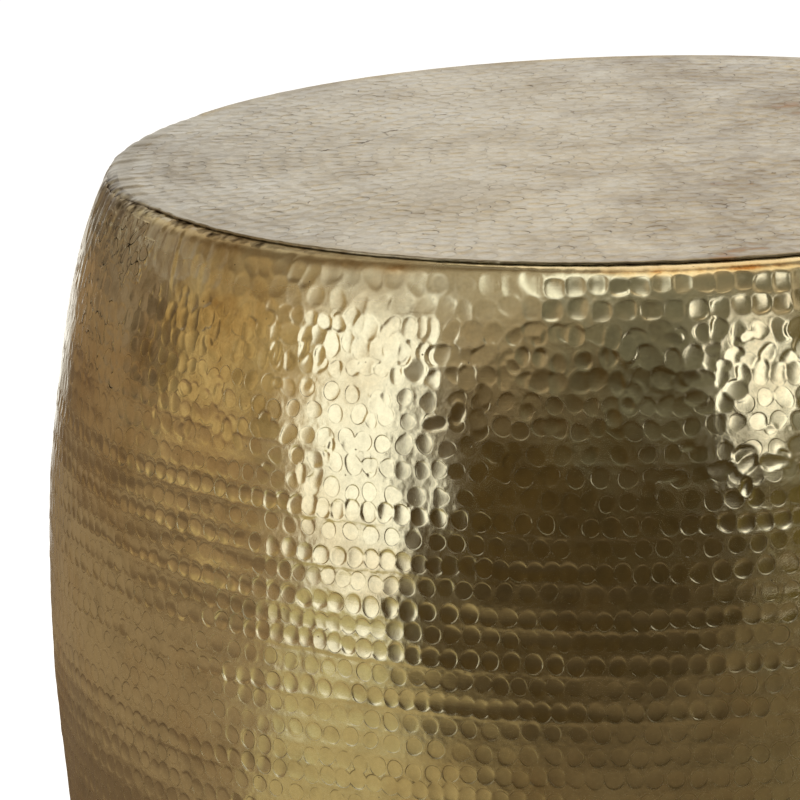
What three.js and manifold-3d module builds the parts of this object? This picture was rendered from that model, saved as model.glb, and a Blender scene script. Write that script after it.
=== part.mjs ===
// Round drum coffee table in hammered brass sheet: a barrel wall whose shoulder is rolled in under
// the top plate, a board under the top, and rubber feet inside the wall's lower hem.
// Millimetres, +Z up. The origin is on the floor at the middle of the table.
import * as THREE from "three";
import { mergeVertices } from "three/addons/utils/BufferGeometryUtils.js";
import Module from "manifold-3d";

const wasm = await Module();
wasm.setup();

// Driving dimensions
const TABLE_HEIGHT = 440;
const TOP_RADIUS = 236.2; // edge of the flat top
const BELLY_RADIUS = 280; // outside of the wall at its widest
const BELLY_DROP = 225; // from the top's face down to the widest level
const BOTTOM_RADIUS = 249; // outside of the wall where the hem starts
const SHEET = 1.2; // brass sheet of the wall and of the top
const FIT = 0.3; // gap between a piece and the one it sits on or in
const SIDES = 60; // flats round every large ring

// Edge of the top plate, and the wall's shoulder, rolled in to a flange that the top lies on
const TOP_EDGE = 0.5; // how far the top's upper edge is dressed down
const FLANGE_WIDTH = 10; // how far the flange reaches in under the top
const JOINT_MARGIN = 0.6; // level strip between the top's edge and the roll of the shoulder
const SHOULDER_RADIUS = 244; // outside of the wall where the roll meets the barrel
const SHOULDER_DROP = 6.1; // from the top's face down to that level
const SHOULDER_STEPS = 4;

// Barrel curve: each half is an arc of an ellipse that closes this far past the wall's own end
const CURVE_OVERSHOOT = 25;
const CURVE_STEPS = 7; // straight lengths in each half

// Hem round a wire at the wall's lower edge
const HEM_WIRE_RADIUS = 1.8;
const HEM_WIRE_CLEARANCE = 0.5;
const HEM_TURN = (4 / 3) * Math.PI; // how far the sheet is rolled round the wire
const HEM_STEPS = 6;
const HEM_WIRE_SIDES = 8;

// Board and iron frame under the top
const BOARD_THICKNESS = 12;
const FRAME_THICKNESS = 4;
const BOARD_RING_WIDTH = 40;
const STRAP_WIDTH = 30;
const BASE_RING_WIDTH = 34;

// Screws up through the iron into the board
const BOARD_SCREW_LENGTH = 13;
const BOARD_SCREW_TIP_GAP = 0.5;
const RING_SCREWS = 4;
const STRAP_ARMS = 4; // the two halves of the long strap and the two short straps

// Rubber feet under the base ring
const FOOT_COUNT = 6;
const FOOT_PROUD = 4; // how far the feet hold the hem off the floor
const FOOT_TOP_RADIUS = 12;
const FOOT_BASE_RADIUS = 11;
const FOOT_CHAMFER = 0.8;
const FOOT_HEM_GAP = 2;
const FOOT_RECESS_RADIUS = 5;
const FOOT_RECESS_DEPTH = 4.4;
const FOOT_SIDES = 16;
const FOOT_SCREW_PASS = 2.5; // how far a foot screw stands out above the base ring

// Pan-head screws
const SCREW_RADIUS = 2;
const SCREW_HOLE_RADIUS = 2.35;
const SCREW_HEAD_RADIUS = 3.9;
const SCREW_CROWN_RADIUS = 2.6; // flat on the head's crown
const SCREW_HEAD_HEIGHT = 2.6;
const SCREW_HEAD_EDGE = 1.2; // straight side of the head under its crown
const SCREW_TIP = 1.4;
const SCREW_SIDES = 10;
const CUT_OVERRUN = 1;

// Materials
const BRASS_WALL = { color: 0xa88a4e, roughness: 0.3, metalness: 1 };
const BRASS_TOP = { color: 0xb9ad92, roughness: 0.42, metalness: 1 };
const STEEL_WIRE = { color: 0x8c8a85, roughness: 0.45, metalness: 1 };
const BLACK_IRON = { color: 0x2b2a28, roughness: 0.6, metalness: 0.4 };
const BOARD_FIBRE = { color: 0xb08a5c, roughness: 0.8, metalness: 0 };
const BLACK_RUBBER = { color: 0x1c1b1a, roughness: 0.85, metalness: 0 };
const ZINC_STEEL = { color: 0xb4b5b8, roughness: 0.35, metalness: 1 };

const table = new THREE.Group();

function addPiece(name, geometry, finish, x = 0, y = 0, z = 0) {
  const mesh = new THREE.Mesh(geometry, new THREE.MeshStandardMaterial(finish));
  mesh.name = name;
  mesh.position.set(x, y, z);
  table.add(mesh);
}

// A path moved sideways by a distance, to the right of its direction, with mitred corners
function offsetPath(path, distance) {
  return path.map((point, i) => {
    const before = path[Math.max(i - 1, 0)];
    const after = path[Math.min(i + 1, path.length - 1)];
    const into = i > 0 ? point.clone().sub(before).normalize() : after.clone().sub(point).normalize();
    const out = i < path.length - 1 ? after.clone().sub(point).normalize() : into.clone();
    const mitre = new THREE.Vector2(into.y + out.y, -into.x - out.x).normalize();
    const spread = mitre.dot(new THREE.Vector2(into.y, -into.x));
    return point.clone().addScaledVector(mitre, distance / spread);
  });
}

// Points on an arc about a centre, from one angle to another
function arcPoints(x, y, radius, start, end, steps) {
  return Array.from({ length: steps + 1 }, (_, i) => {
    const angle = start + ((end - start) * i) / steps;
    return new THREE.Vector2(x + radius * Math.cos(angle), y + radius * Math.sin(angle));
  });
}

function circleOutline(radius, sides, x = 0, y = 0) {
  return arcPoints(x, y, radius, 0, 2 * Math.PI, sides).slice(0, sides);
}

// Turns an outline about the table's axis. It runs anticlockwise, with the radius to the right.
function turned(outline, sides) {
  return new THREE.LatheGeometry(outline, sides).rotateX(Math.PI / 2);
}

// Sheet bent along a path of its outer face, turned about the axis
function turnedSheet(outer, sides) {
  const inner = offsetPath(outer, SHEET);
  return turned([...inner, ...outer.toReversed(), inner[0]], sides);
}

function plate(outline, holes, thickness) {
  const shape = new THREE.Shape(outline);
  shape.holes = holes.map((hole) => new THREE.Path(hole));
  return new THREE.ExtrudeGeometry(shape, { depth: thickness, bevelEnabled: false });
}

// The radius at a height on a path that runs down the table's side
function radiusAt(path, z) {
  const i = path.findIndex((point, n) => n > 0 && point.y <= z && path[n - 1].y > z);
  const [above, below] = [path[i - 1], path[i]];
  return below.x + ((above.x - below.x) * (z - below.y)) / (above.y - below.y);
}

function toSolid(geometry) {
  const bare = geometry.clone();
  bare.deleteAttribute("normal");
  bare.deleteAttribute("uv");
  const merged = mergeVertices(bare);
  const vertProperties = Float32Array.from(merged.attributes.position.array);
  const triVerts = Uint32Array.from(merged.index.array);
  return new wasm.Manifold(new wasm.Mesh({ numProp: 3, vertProperties, triVerts }));
}

function toGeometry(solid) {
  const mesh = solid.getMesh();
  const geometry = new THREE.BufferGeometry();
  geometry.setAttribute("position", new THREE.BufferAttribute(mesh.vertProperties, 3));
  geometry.setIndex(new THREE.BufferAttribute(mesh.triVerts, 1));
  return geometry;
}

// Levels that the pieces share
const topUnderZ = TABLE_HEIGHT - SHEET;
const flangeZ = topUnderZ - FIT;
const shoulderZ = TABLE_HEIGHT - SHOULDER_DROP;
const boardTopZ = flangeZ;
const boardUnderZ = boardTopZ - BOARD_THICKNESS;
const frameTopZ = boardUnderZ - FIT;
const frameUnderZ = frameTopZ - FRAME_THICKNESS;
const bellyZ = TABLE_HEIGHT - BELLY_DROP;
const hemRadius = HEM_WIRE_RADIUS + HEM_WIRE_CLEARANCE + SHEET;
const hemZ = FOOT_PROUD + hemRadius;
const baseRingZ = FOOT_PROUD + 2 * hemRadius + FIT;
const boardRadius = TOP_RADIUS - FLANGE_WIDTH - FIT;

// One half of the barrel curve, as points from the belly to the half's end
function barrelHalf(endRadius, endZ) {
  const reach = Math.abs(endZ - bellyZ);
  const semiHeight = reach + CURVE_OVERSHOOT;
  const endTurn = Math.asin(reach / semiHeight);
  const semiWidth = (BELLY_RADIUS - endRadius) / (1 - Math.cos(endTurn));
  return Array.from({ length: CURVE_STEPS + 1 }, (_, i) => {
    const turn = (endTurn * i) / CURVE_STEPS;
    const rise = Math.sign(endZ - bellyZ) * semiHeight * Math.sin(turn);
    return new THREE.Vector2(BELLY_RADIUS - semiWidth * (1 - Math.cos(turn)), bellyZ + rise);
  });
}

// The direction square to the last length of a path, towards the inside of the table
function inwardAtEnd(path) {
  const run = path.at(-1).clone().sub(path.at(-2)).normalize();
  return new THREE.Vector2(run.y, -run.x);
}

// The flange under the top and the roll of the shoulder, down to where a barrel path starts
function shoulder(barrel) {
  const rise = barrel[0].clone().sub(barrel[1]);
  const start = new THREE.Vector2(TOP_RADIUS + JOINT_MARGIN, flangeZ);
  const corner = barrel[0].clone().addScaledVector(rise, (flangeZ - barrel[0].y) / rise.y);
  const roll = new THREE.QuadraticBezierCurve(start, corner, barrel[0]);
  const flangeEdge = new THREE.Vector2(TOP_RADIUS - FLANGE_WIDTH, flangeZ);
  return [flangeEdge, ...roll.getPoints(SHOULDER_STEPS).slice(0, -1)];
}

// Outer face of the wall: the flange, the shoulder, the barrel and the hem rolled round its wire
function wallPath() {
  const upper = barrelHalf(SHOULDER_RADIUS, shoulderZ).toReversed();
  const lean = inwardAtEnd(barrelHalf(BOTTOM_RADIUS, hemZ));
  const lower = barrelHalf(BOTTOM_RADIUS, hemZ - hemRadius * lean.y).slice(1);
  const inward = inwardAtEnd(lower);
  const wire = lower.at(-1).clone().addScaledVector(inward, hemRadius);
  const start = Math.atan2(-inward.y, -inward.x);
  const hem = arcPoints(wire.x, wire.y, hemRadius, start, start - HEM_TURN, HEM_STEPS);
  return { path: [...shoulder(upper), ...upper, ...lower, ...hem.slice(1)], wire };
}

// A ring in the wall, lying flat, with holes at the given places
function flatRing(outerRadius, width, holes) {
  const inner = circleOutline(outerRadius - width, SIDES);
  return plate(circleOutline(outerRadius, SIDES), [inner, ...holes], FRAME_THICKNESS);
}

// The largest ring that clears the wall between two levels
function ringRadius(innerPath, underZ, topZ) {
  return Math.min(radiusAt(innerPath, underZ), radiusAt(innerPath, topZ)) - FIT;
}

// Places spread evenly round a circle
function placesRound(count, radius, firstTurn = 0) {
  return Array.from({ length: count }, (_, i) => {
    const turn = firstTurn + (2 * Math.PI * i) / count;
    return new THREE.Vector2(radius * Math.cos(turn), radius * Math.sin(turn));
  });
}

function screwHole(place) {
  return circleOutline(SCREW_HOLE_RADIUS, SCREW_SIDES, place.x, place.y);
}

// A pan-head screw pointing up, with the underside of its head at zero height
function screw(length) {
  const outline = [
    new THREE.Vector2(0, -SCREW_HEAD_HEIGHT),
    new THREE.Vector2(SCREW_CROWN_RADIUS, -SCREW_HEAD_HEIGHT),
    new THREE.Vector2(SCREW_HEAD_RADIUS, -SCREW_HEAD_EDGE),
    new THREE.Vector2(SCREW_HEAD_RADIUS, 0),
    new THREE.Vector2(SCREW_RADIUS, 0),
    new THREE.Vector2(SCREW_RADIUS, length - SCREW_TIP),
    new THREE.Vector2(0, length),
  ];
  return turned(outline, SCREW_SIDES);
}

function addWall() {
  const { path, wire } = wallPath();
  addPiece("barrel_shell", turnedSheet(path, SIDES), BRASS_WALL);
  const torus = new THREE.TorusGeometry(wire.x, HEM_WIRE_RADIUS, HEM_WIRE_SIDES, SIDES);
  addPiece("hem_wire", torus, STEEL_WIRE, 0, 0, wire.y);
  return { innerPath: offsetPath(path, SHEET), wire };
}

function addTopPlate() {
  const outline = [
    new THREE.Vector2(0, topUnderZ),
    new THREE.Vector2(TOP_RADIUS, topUnderZ),
    new THREE.Vector2(TOP_RADIUS, TABLE_HEIGHT - TOP_EDGE),
    new THREE.Vector2(TOP_RADIUS - TOP_EDGE, TABLE_HEIGHT),
    new THREE.Vector2(0, TABLE_HEIGHT),
  ];
  addPiece("top_plate", turned(outline, SIDES), BRASS_TOP);
}

function addBoard(screwPlaces) {
  const blank = plate(circleOutline(boardRadius, SIDES), [], BOARD_THICKNESS);
  const screwReach = BOARD_SCREW_LENGTH - FRAME_THICKNESS - 2 * FIT;
  const drillDepth = screwReach + BOARD_SCREW_TIP_GAP;
  const drill = turned(
    [
      new THREE.Vector2(0, -CUT_OVERRUN),
      new THREE.Vector2(SCREW_HOLE_RADIUS, -CUT_OVERRUN),
      new THREE.Vector2(SCREW_HOLE_RADIUS, drillDepth),
      new THREE.Vector2(0, drillDepth),
    ],
    SCREW_SIDES,
  );
  const drilled = screwPlaces.reduce(
    (solid, place) => solid.subtract(toSolid(drill.clone().translate(place.x, place.y, 0))),
    toSolid(blank),
  );
  addPiece("top_board", toGeometry(drilled), BOARD_FIBRE, 0, 0, boardUnderZ);
}

// A flat bar along X from one end to the other, with screw holes on its centre line
function strap(startX, endX, holeXs) {
  const half = STRAP_WIDTH / 2;
  const outline = [
    new THREE.Vector2(startX, -half),
    new THREE.Vector2(endX, -half),
    new THREE.Vector2(endX, half),
    new THREE.Vector2(startX, half),
  ];
  const holes = holeXs.map((x) => screwHole(new THREE.Vector2(x, 0)));
  return plate(outline, holes, FRAME_THICKNESS);
}

// The iron ring and the crossed straps that carry the board, and the screws that hold it
function addTopFrame(innerPath) {
  const outerRadius = ringRadius(innerPath, frameUnderZ, frameTopZ);
  const innerRadius = outerRadius - BOARD_RING_WIDTH;
  const ringPlaces = placesRound(RING_SCREWS, (innerRadius + boardRadius) / 2, Math.PI / RING_SCREWS);
  addPiece(
    "board_ring",
    flatRing(outerRadius, BOARD_RING_WIDTH, ringPlaces.map(screwHole)),
    BLACK_IRON,
    0,
    0,
    frameUnderZ,
  );

  const inscribed = innerRadius * Math.cos(Math.PI / SIDES);
  const strapEnd = Math.sqrt(inscribed ** 2 - (STRAP_WIDTH / 2) ** 2) - FIT;
  const strapStart = STRAP_WIDTH / 2 + FIT;
  const holeX = strapEnd / 2;
  addPiece("cross_strap_long", strap(-strapEnd, strapEnd, [-holeX, holeX]), BLACK_IRON, 0, 0, frameUnderZ);
  const shortStrap = strap(strapStart, strapEnd, [holeX]);
  const back = shortStrap.clone().rotateZ(Math.PI / 2);
  const front = shortStrap.clone().rotateZ(-Math.PI / 2);
  addPiece("cross_strap_back", back, BLACK_IRON, 0, 0, frameUnderZ);
  addPiece("cross_strap_front", front, BLACK_IRON, 0, 0, frameUnderZ);

  const places = [...ringPlaces, ...placesRound(STRAP_ARMS, holeX)];
  places.forEach((place, i) => {
    const name = `board_screw_${i + 1}`;
    addPiece(name, screw(BOARD_SCREW_LENGTH), ZINC_STEEL, place.x, place.y, frameUnderZ - FIT);
  });
  return places;
}

// The iron ring on the hem, with the rubber feet that are screwed up against it
function addBase(innerPath, wire) {
  const footRadius = wire.x - hemRadius - FOOT_HEM_GAP - FOOT_TOP_RADIUS;
  const footPlaces = placesRound(FOOT_COUNT, footRadius);
  const outerRadius = ringRadius(innerPath, baseRingZ, baseRingZ + FRAME_THICKNESS);
  const ring = flatRing(outerRadius, BASE_RING_WIDTH, footPlaces.map(screwHole));
  addPiece("base_ring", ring, BLACK_IRON, 0, 0, baseRingZ);

  const footHeight = baseRingZ - FIT;
  const footOutline = [
    new THREE.Vector2(SCREW_HOLE_RADIUS, FOOT_RECESS_DEPTH),
    new THREE.Vector2(FOOT_RECESS_RADIUS, FOOT_RECESS_DEPTH),
    new THREE.Vector2(FOOT_RECESS_RADIUS, 0),
    new THREE.Vector2(FOOT_BASE_RADIUS - FOOT_CHAMFER, 0),
    new THREE.Vector2(FOOT_BASE_RADIUS, FOOT_CHAMFER),
    new THREE.Vector2(FOOT_TOP_RADIUS, footHeight),
    new THREE.Vector2(SCREW_HOLE_RADIUS, footHeight),
    new THREE.Vector2(SCREW_HOLE_RADIUS, FOOT_RECESS_DEPTH),
  ];
  const seatZ = FOOT_RECESS_DEPTH - FIT;
  const screwLength = baseRingZ + FRAME_THICKNESS + FOOT_SCREW_PASS - seatZ;
  footPlaces.forEach((place, i) => {
    addPiece(`foot_${i + 1}`, turned(footOutline, FOOT_SIDES), BLACK_RUBBER, place.x, place.y);
    addPiece(`foot_screw_${i + 1}`, screw(screwLength), ZINC_STEEL, place.x, place.y, seatZ);
  });
}

const { innerPath, wire } = addWall();
addTopPlate();
addBoard(addTopFrame(innerPath));
addBase(innerPath, wire);

export default table;
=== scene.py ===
"""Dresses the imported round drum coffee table: hammered brass wall and top, iron frame, rubber feet, and its studio."""

import logging
import math
from collections.abc import Callable
from dataclasses import dataclass, field
from enum import Enum
from functools import partial

import bpy
import numpy as np
from mathutils import Matrix, Vector


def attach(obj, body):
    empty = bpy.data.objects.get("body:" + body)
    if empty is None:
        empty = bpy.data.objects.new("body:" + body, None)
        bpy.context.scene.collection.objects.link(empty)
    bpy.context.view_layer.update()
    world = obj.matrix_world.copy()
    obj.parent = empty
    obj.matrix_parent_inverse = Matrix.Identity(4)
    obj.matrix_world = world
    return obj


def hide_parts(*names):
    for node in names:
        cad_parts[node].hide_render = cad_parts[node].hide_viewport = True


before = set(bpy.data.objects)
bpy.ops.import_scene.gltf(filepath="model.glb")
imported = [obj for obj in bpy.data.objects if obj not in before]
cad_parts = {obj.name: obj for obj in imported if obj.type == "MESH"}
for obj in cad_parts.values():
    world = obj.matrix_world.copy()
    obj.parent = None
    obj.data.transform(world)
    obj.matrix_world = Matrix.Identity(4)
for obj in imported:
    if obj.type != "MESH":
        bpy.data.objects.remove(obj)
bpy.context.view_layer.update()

LOG = logging.getLogger("drum_table")
MM = 0.001
# Settings that many nodes share
TIMES = {"operation": "MULTIPLY"}
TIMES_PLUS = {"operation": "MULTIPLY_ADD"}
EASED = {"interpolation_type": "SMOOTHSTEP"}
# Height of the table, and the way round the joint between top and wall, in mm
TABLE_MM = 440.0
JOINT_MM = 1508.0
# Distance from a mark's rim that stands for none near, and how far round a mark its lip reaches, in mm
FAR_MM = 9.0
LIP_MM = 0.7
LIP_REACH_MM = 1.4
# Cell of the net that a sheet is hammered on, in mm
NET_MM = 0.5
# Share of the flat map's width that is used
MAP_WIDTH = 0.98
# Height of the soft dents and depth of the small pits in the brass, in mm
DENT_MM = 0.05
PIT_MM = 0.04


def linear(code: str) -> tuple[float, float, float, float]:
    """Turns an sRGB hex colour into linear red, green, blue and alpha.

    Args:
        code: The colour, such as "#f2e6b0".

    Returns:
        The four linear values.
    """
    parts = [int(code[i : i + 2], 16) / 255 for i in (1, 3, 5)]
    red, green, blue = (c / 12.92 if c <= 0.04045 else ((c + 0.055) / 1.055) ** 2.4 for c in parts)
    return red, green, blue, 1.0


def add(
    tree: bpy.types.NodeTree,
    kind: str,
    settings: dict[str | int, object] | None = None,
    links: dict[str | int, bpy.types.Node | bpy.types.NodeSocket] | None = None,
) -> bpy.types.Node:
    """Adds a node to a material or world.

    Args:
        tree: The node tree.
        kind: The node's type, without the word ShaderNode.
        settings: Values by socket name, socket number or property name.
        links: What feeds this node's inputs, by socket name or number: an output, or a node for its first output.

    Returns:
        The new node.
    """
    node = tree.nodes.new("ShaderNode" + kind)
    for key, value in (settings or {}).items():
        if isinstance(key, str) and hasattr(node, key):
            setattr(node, key, value)
        else:
            node.inputs[key].default_value = value
    for key, source in (links or {}).items():
        if isinstance(source, bpy.types.Node):
            source = next(output for output in source.outputs if output.enabled)
        tree.links.new(source, node.inputs[key])
    return node


def span(low: float, high: float, first: float = 0.0, last: float = 1.0) -> dict[str, float]:
    """The settings of a Map Range node that turns low to high into first to last."""
    return {"From Min": low, "From Max": high, "To Min": first, "To Max": last}


def blank(made: bpy.types.Material | bpy.types.World) -> Callable[..., bpy.types.Node]:
    """Empties a new material's or world's node tree.

    Args:
        made: The material or world.

    Returns:
        The function add() for its tree.
    """
    made.use_nodes = True
    made.node_tree.nodes.clear()
    return partial(add, made.node_tree)


def seen(node: Callable[..., bpy.types.Node]) -> bpy.types.Node:
    """Picks the rays that come from the camera, off the metal or through something clear.

    Args:
        node: The function add() for a tree.

    Returns:
        A node that gives 1 for them and 0 for other rays.
    """
    path = node("LightPath").outputs
    straight = node("Math", {"operation": "MAXIMUM"}, {0: path["Is Camera Ray"], 1: path["Is Glossy Ray"]})
    return node("Math", {"operation": "MAXIMUM"}, {0: straight, 1: path["Is Transmission Ray"]})


def put(name: str, data: bpy.types.ID) -> bpy.types.Object:
    """Adds an object to the scene.

    Args:
        name: Its name.
        data: Its mesh, light or camera.

    Returns:
        The object.
    """
    made = bpy.data.objects.new(name, data)
    bpy.context.scene.collection.objects.link(made)
    return made


def smooth(value: np.ndarray) -> np.ndarray:
    """Eases 0 to 1 with level ends."""
    held = np.clip(value, 0.0, 1.0)
    return held * held * (3.0 - 2.0 * held)


def between(value: np.ndarray, start: float, rise: float, end: float, fall: float) -> np.ndarray:
    """Gives 1 between two limits and eases to 0 outside them.

    Args:
        value: What is limited.
        start: Where it leaves 0.
        rise: Over how much it reaches 1.
        end: Where it is back at 0.
        fall: Over how much it falls to that.

    Returns:
        Shares from 0 to 1.
    """
    return smooth((value - start) / rise) * smooth((end - value) / fall)


@dataclass
class Swell:
    """Low waves in a sheet, as left by hammering it over a stake, the same again after one turn.

    Args:
        seed: Picks the waves.
        lengths: Shortest and longest wave, in mm.
        count: How many waves are added up.
        round_mm: Length of one turn, in mm.
    """

    seed: int
    lengths: tuple[float, float]
    count: int
    round_mm: float

    def over(self, turn: np.ndarray, down: np.ndarray) -> np.ndarray:
        """Gives the waves over a net of places.

        Args:
            turn: Azimuth of each column, in radians.
            down: Distance of each row, in mm.

        Returns:
            Heights with a spread of about one, one row per distance.
        """
        rng = np.random.default_rng(self.seed)
        total = np.zeros((len(down), len(turn)), dtype=np.float32)
        for _ in range(self.count):
            length = rng.uniform(*self.lengths)
            slant = rng.uniform(0, math.pi)
            across = round(self.round_mm / length * math.cos(slant))
            along = 2 * math.pi / length * math.sin(slant)
            phase = rng.uniform(0, 2 * math.pi)
            total += np.outer(np.cos(along * down), np.cos(across * turn + phase))
            total -= np.outer(np.sin(along * down), np.sin(across * turn + phase))
        return total / math.sqrt(self.count / 2)

    def ring(self, turn: np.ndarray) -> np.ndarray:
        """Gives the waves along one line round the sheet, for azimuths in radians."""
        return self.over(turn, np.zeros(1))[0]


def gathers(turn: np.ndarray) -> tuple[np.ndarray, np.ndarray]:
    """Where the sheets were drawn in over the shoulder, on the left, and the small folds that this left.

    Args:
        turn: Azimuths, in radians.

    Returns:
        How far they were drawn in, from 0 to 1, and the height of the folds, in mm.
    """
    drawn = between(np.degrees(turn) % 360, 148, 14, 211, 16)
    # Folds 8 to 18 mm long, about 0.2 mm high, with a trace of them all round
    folds = Swell(33, (8.0, 18.0), 16, JOINT_MM).ring(turn)
    return drawn, 0.22 * np.clip(drawn + 0.08, 0, 1) * folds


def joint_dirt_and_shade(turn: np.ndarray) -> np.ndarray:
    """How much painted shadow and soiling darken the top-wall joint: most on the front left, not at all where it is
    drawn in.

    Args:
        turn: Azimuths, in radians.

    Returns:
        Shares from 0 to 1.
    """
    azimuth = np.degrees(turn) % 360
    most = np.exp(-(((azimuth - 212) / 24) ** 2))
    return (0.5 + 0.5 * most) * np.maximum(smooth((azimuth - 182) / 9), smooth((160 - azimuth) / 10))


def turned(radius: np.ndarray, turn: np.ndarray, level: np.ndarray | float) -> np.ndarray:
    """The points at the given radii, azimuths in radians and heights."""
    return np.stack(np.broadcast_arrays(radius * np.cos(turn), radius * np.sin(turn), level), axis=-1)


def spots(mesh: bpy.types.Mesh) -> np.ndarray:
    """Reads where a mesh's points are.

    Args:
        mesh: The mesh.

    Returns:
        Their places, in mm.
    """
    places = np.empty(len(mesh.vertices) * 3, dtype=np.float32)
    mesh.vertices.foreach_get("co", places)
    return places.reshape(-1, 3) / MM


@dataclass
class HammerMap:
    """Sheet laid out flat on a fine net, with hammer marks sunk in it one after another.

    Args:
        width: Length of the net along its columns, in mm.
        depth: Length of the net along its rows, in mm.
        cell: Size of a cell, in mm.
        wraps: True if the last column lies beside the first.
    """

    width: float
    depth: float
    cell: float
    wraps: bool
    height: np.ndarray = field(init=False)
    past: np.ndarray = field(init=False)
    crisp: np.ndarray = field(init=False)
    count: int = field(init=False, default=0)

    def __post_init__(self) -> None:
        """Lays out the flat sheet."""
        self.columns = round(self.width / self.cell)
        self.rows = round(self.depth / self.cell) + 1
        self.cell_x = self.width / self.columns
        self.height = np.zeros((self.rows, self.columns), dtype=np.float32)
        self.past = np.full((self.rows, self.columns), FAR_MM, dtype=np.float32)
        self.crisp = np.zeros((self.rows, self.columns), dtype=np.float32)

    def strike(
        self,
        x: float,
        y: float,
        radius: float,
        step: float,
        bowl: float,
        tilt: tuple[float, float],
        edge: float,
        lip: float = 0.0,
        squeeze: float = 1.0,
        rim: float = 1.0,
        tall: float = 1.0,
        corner: float = 2.0,
        wobble: tuple[float, float] = (0.0, 0.0),
    ) -> None:
        """Sinks one mark, which wipes out what it covers.

        Args:
            x: Place along the columns, in mm.
            y: Place along the rows, in mm.
            radius: Radius of the mark, in mm.
            step: Depth of its rim, in mm.
            bowl: Further depth of its middle, in mm.
            tilt: Slope of its floor along the columns and rows.
            edge: Width over which the rim falls, in mm.
            lip: Height of the metal pushed up round it, in mm.
            squeeze: Real length of a mm of the net along its columns.
            rim: How crisply its rim shows, 1 for as usual, 0 for a mark that leaves the rims round it as they are.
            tall: How much taller it is than wide.
            corner: 2 for a round mark, more for a squarer one.
            wobble: Cosine and sine parts of how far it is from round, as shares of its radius.
        """
        reach = radius + edge + LIP_REACH_MM
        first, last = max(0, int((y - reach) / self.cell)), min(self.rows, int((y + reach) / self.cell) + 2)
        low, high = int((x - reach / squeeze) / self.cell_x) - 1, int((x + reach / squeeze) / self.cell_x) + 2
        if not self.wraps:
            low, high = max(0, low), min(self.columns, high)
        if first >= last or low >= high:
            return
        rows, columns = np.arange(first, last), np.arange(low, high)
        across = (columns * self.cell_x - x) * squeeze
        down = rows * self.cell - y
        side, rise = np.abs(across[None, :]) * math.sqrt(tall), np.abs(down[:, None]) / math.sqrt(tall)
        far = (side**corner + rise**corner + 1e-9) ** (1 / corner)
        slant = np.arctan2(down[:, None], across[None, :] + 1e-6)
        far = far * (1 + wobble[0] * np.cos(3 * slant) + wobble[1] * np.sin(2 * slant))
        place = np.ix_(rows, columns % self.columns)
        floor = -step - bowl * (1 - (far / radius) ** 2) + tilt[0] * across[None, :] + tilt[1] * down[:, None]
        fade = smooth((far - radius + edge / 2) / edge)
        raised = lip * np.exp(-(((far - radius - edge / 2) / LIP_MM) ** 2))
        self.height[place] = floor * (1 - fade) + (self.height[place] + raised) * fade
        self.count += 1
        if rim > 0:
            nearer = far - radius < self.past[place]
            self.crisp[place] = np.where(nearer, rim, self.crisp[place])
            self.past[place] = np.minimum(self.past[place], far - radius)

    def read(self, layer: np.ndarray, x: np.ndarray, y: np.ndarray) -> np.ndarray:
        """Reads a layer at each place, between the cells.

        Args:
            layer: The height, past or crisp layer.
            x: Places along the columns, in mm.
            y: Places along the rows, in mm.

        Returns:
            The layer's values there.
        """
        column, row = x / self.cell_x, np.clip(y / self.cell, 0, self.rows - 1.001)
        left, top = np.floor(column).astype(int), np.floor(row).astype(int)
        part_x, part_y = column - left, row - top
        if self.wraps:
            left, right = left % self.columns, (left + 1) % self.columns
        else:
            left = np.clip(left, 0, self.columns - 2)
            right = left + 1
        upper = layer[top, left] * (1 - part_x) + layer[top, right] * part_x
        lower = layer[top + 1, left] * (1 - part_x) + layer[top + 1, right] * part_x
        return upper * (1 - part_y) + lower * part_y


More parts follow.
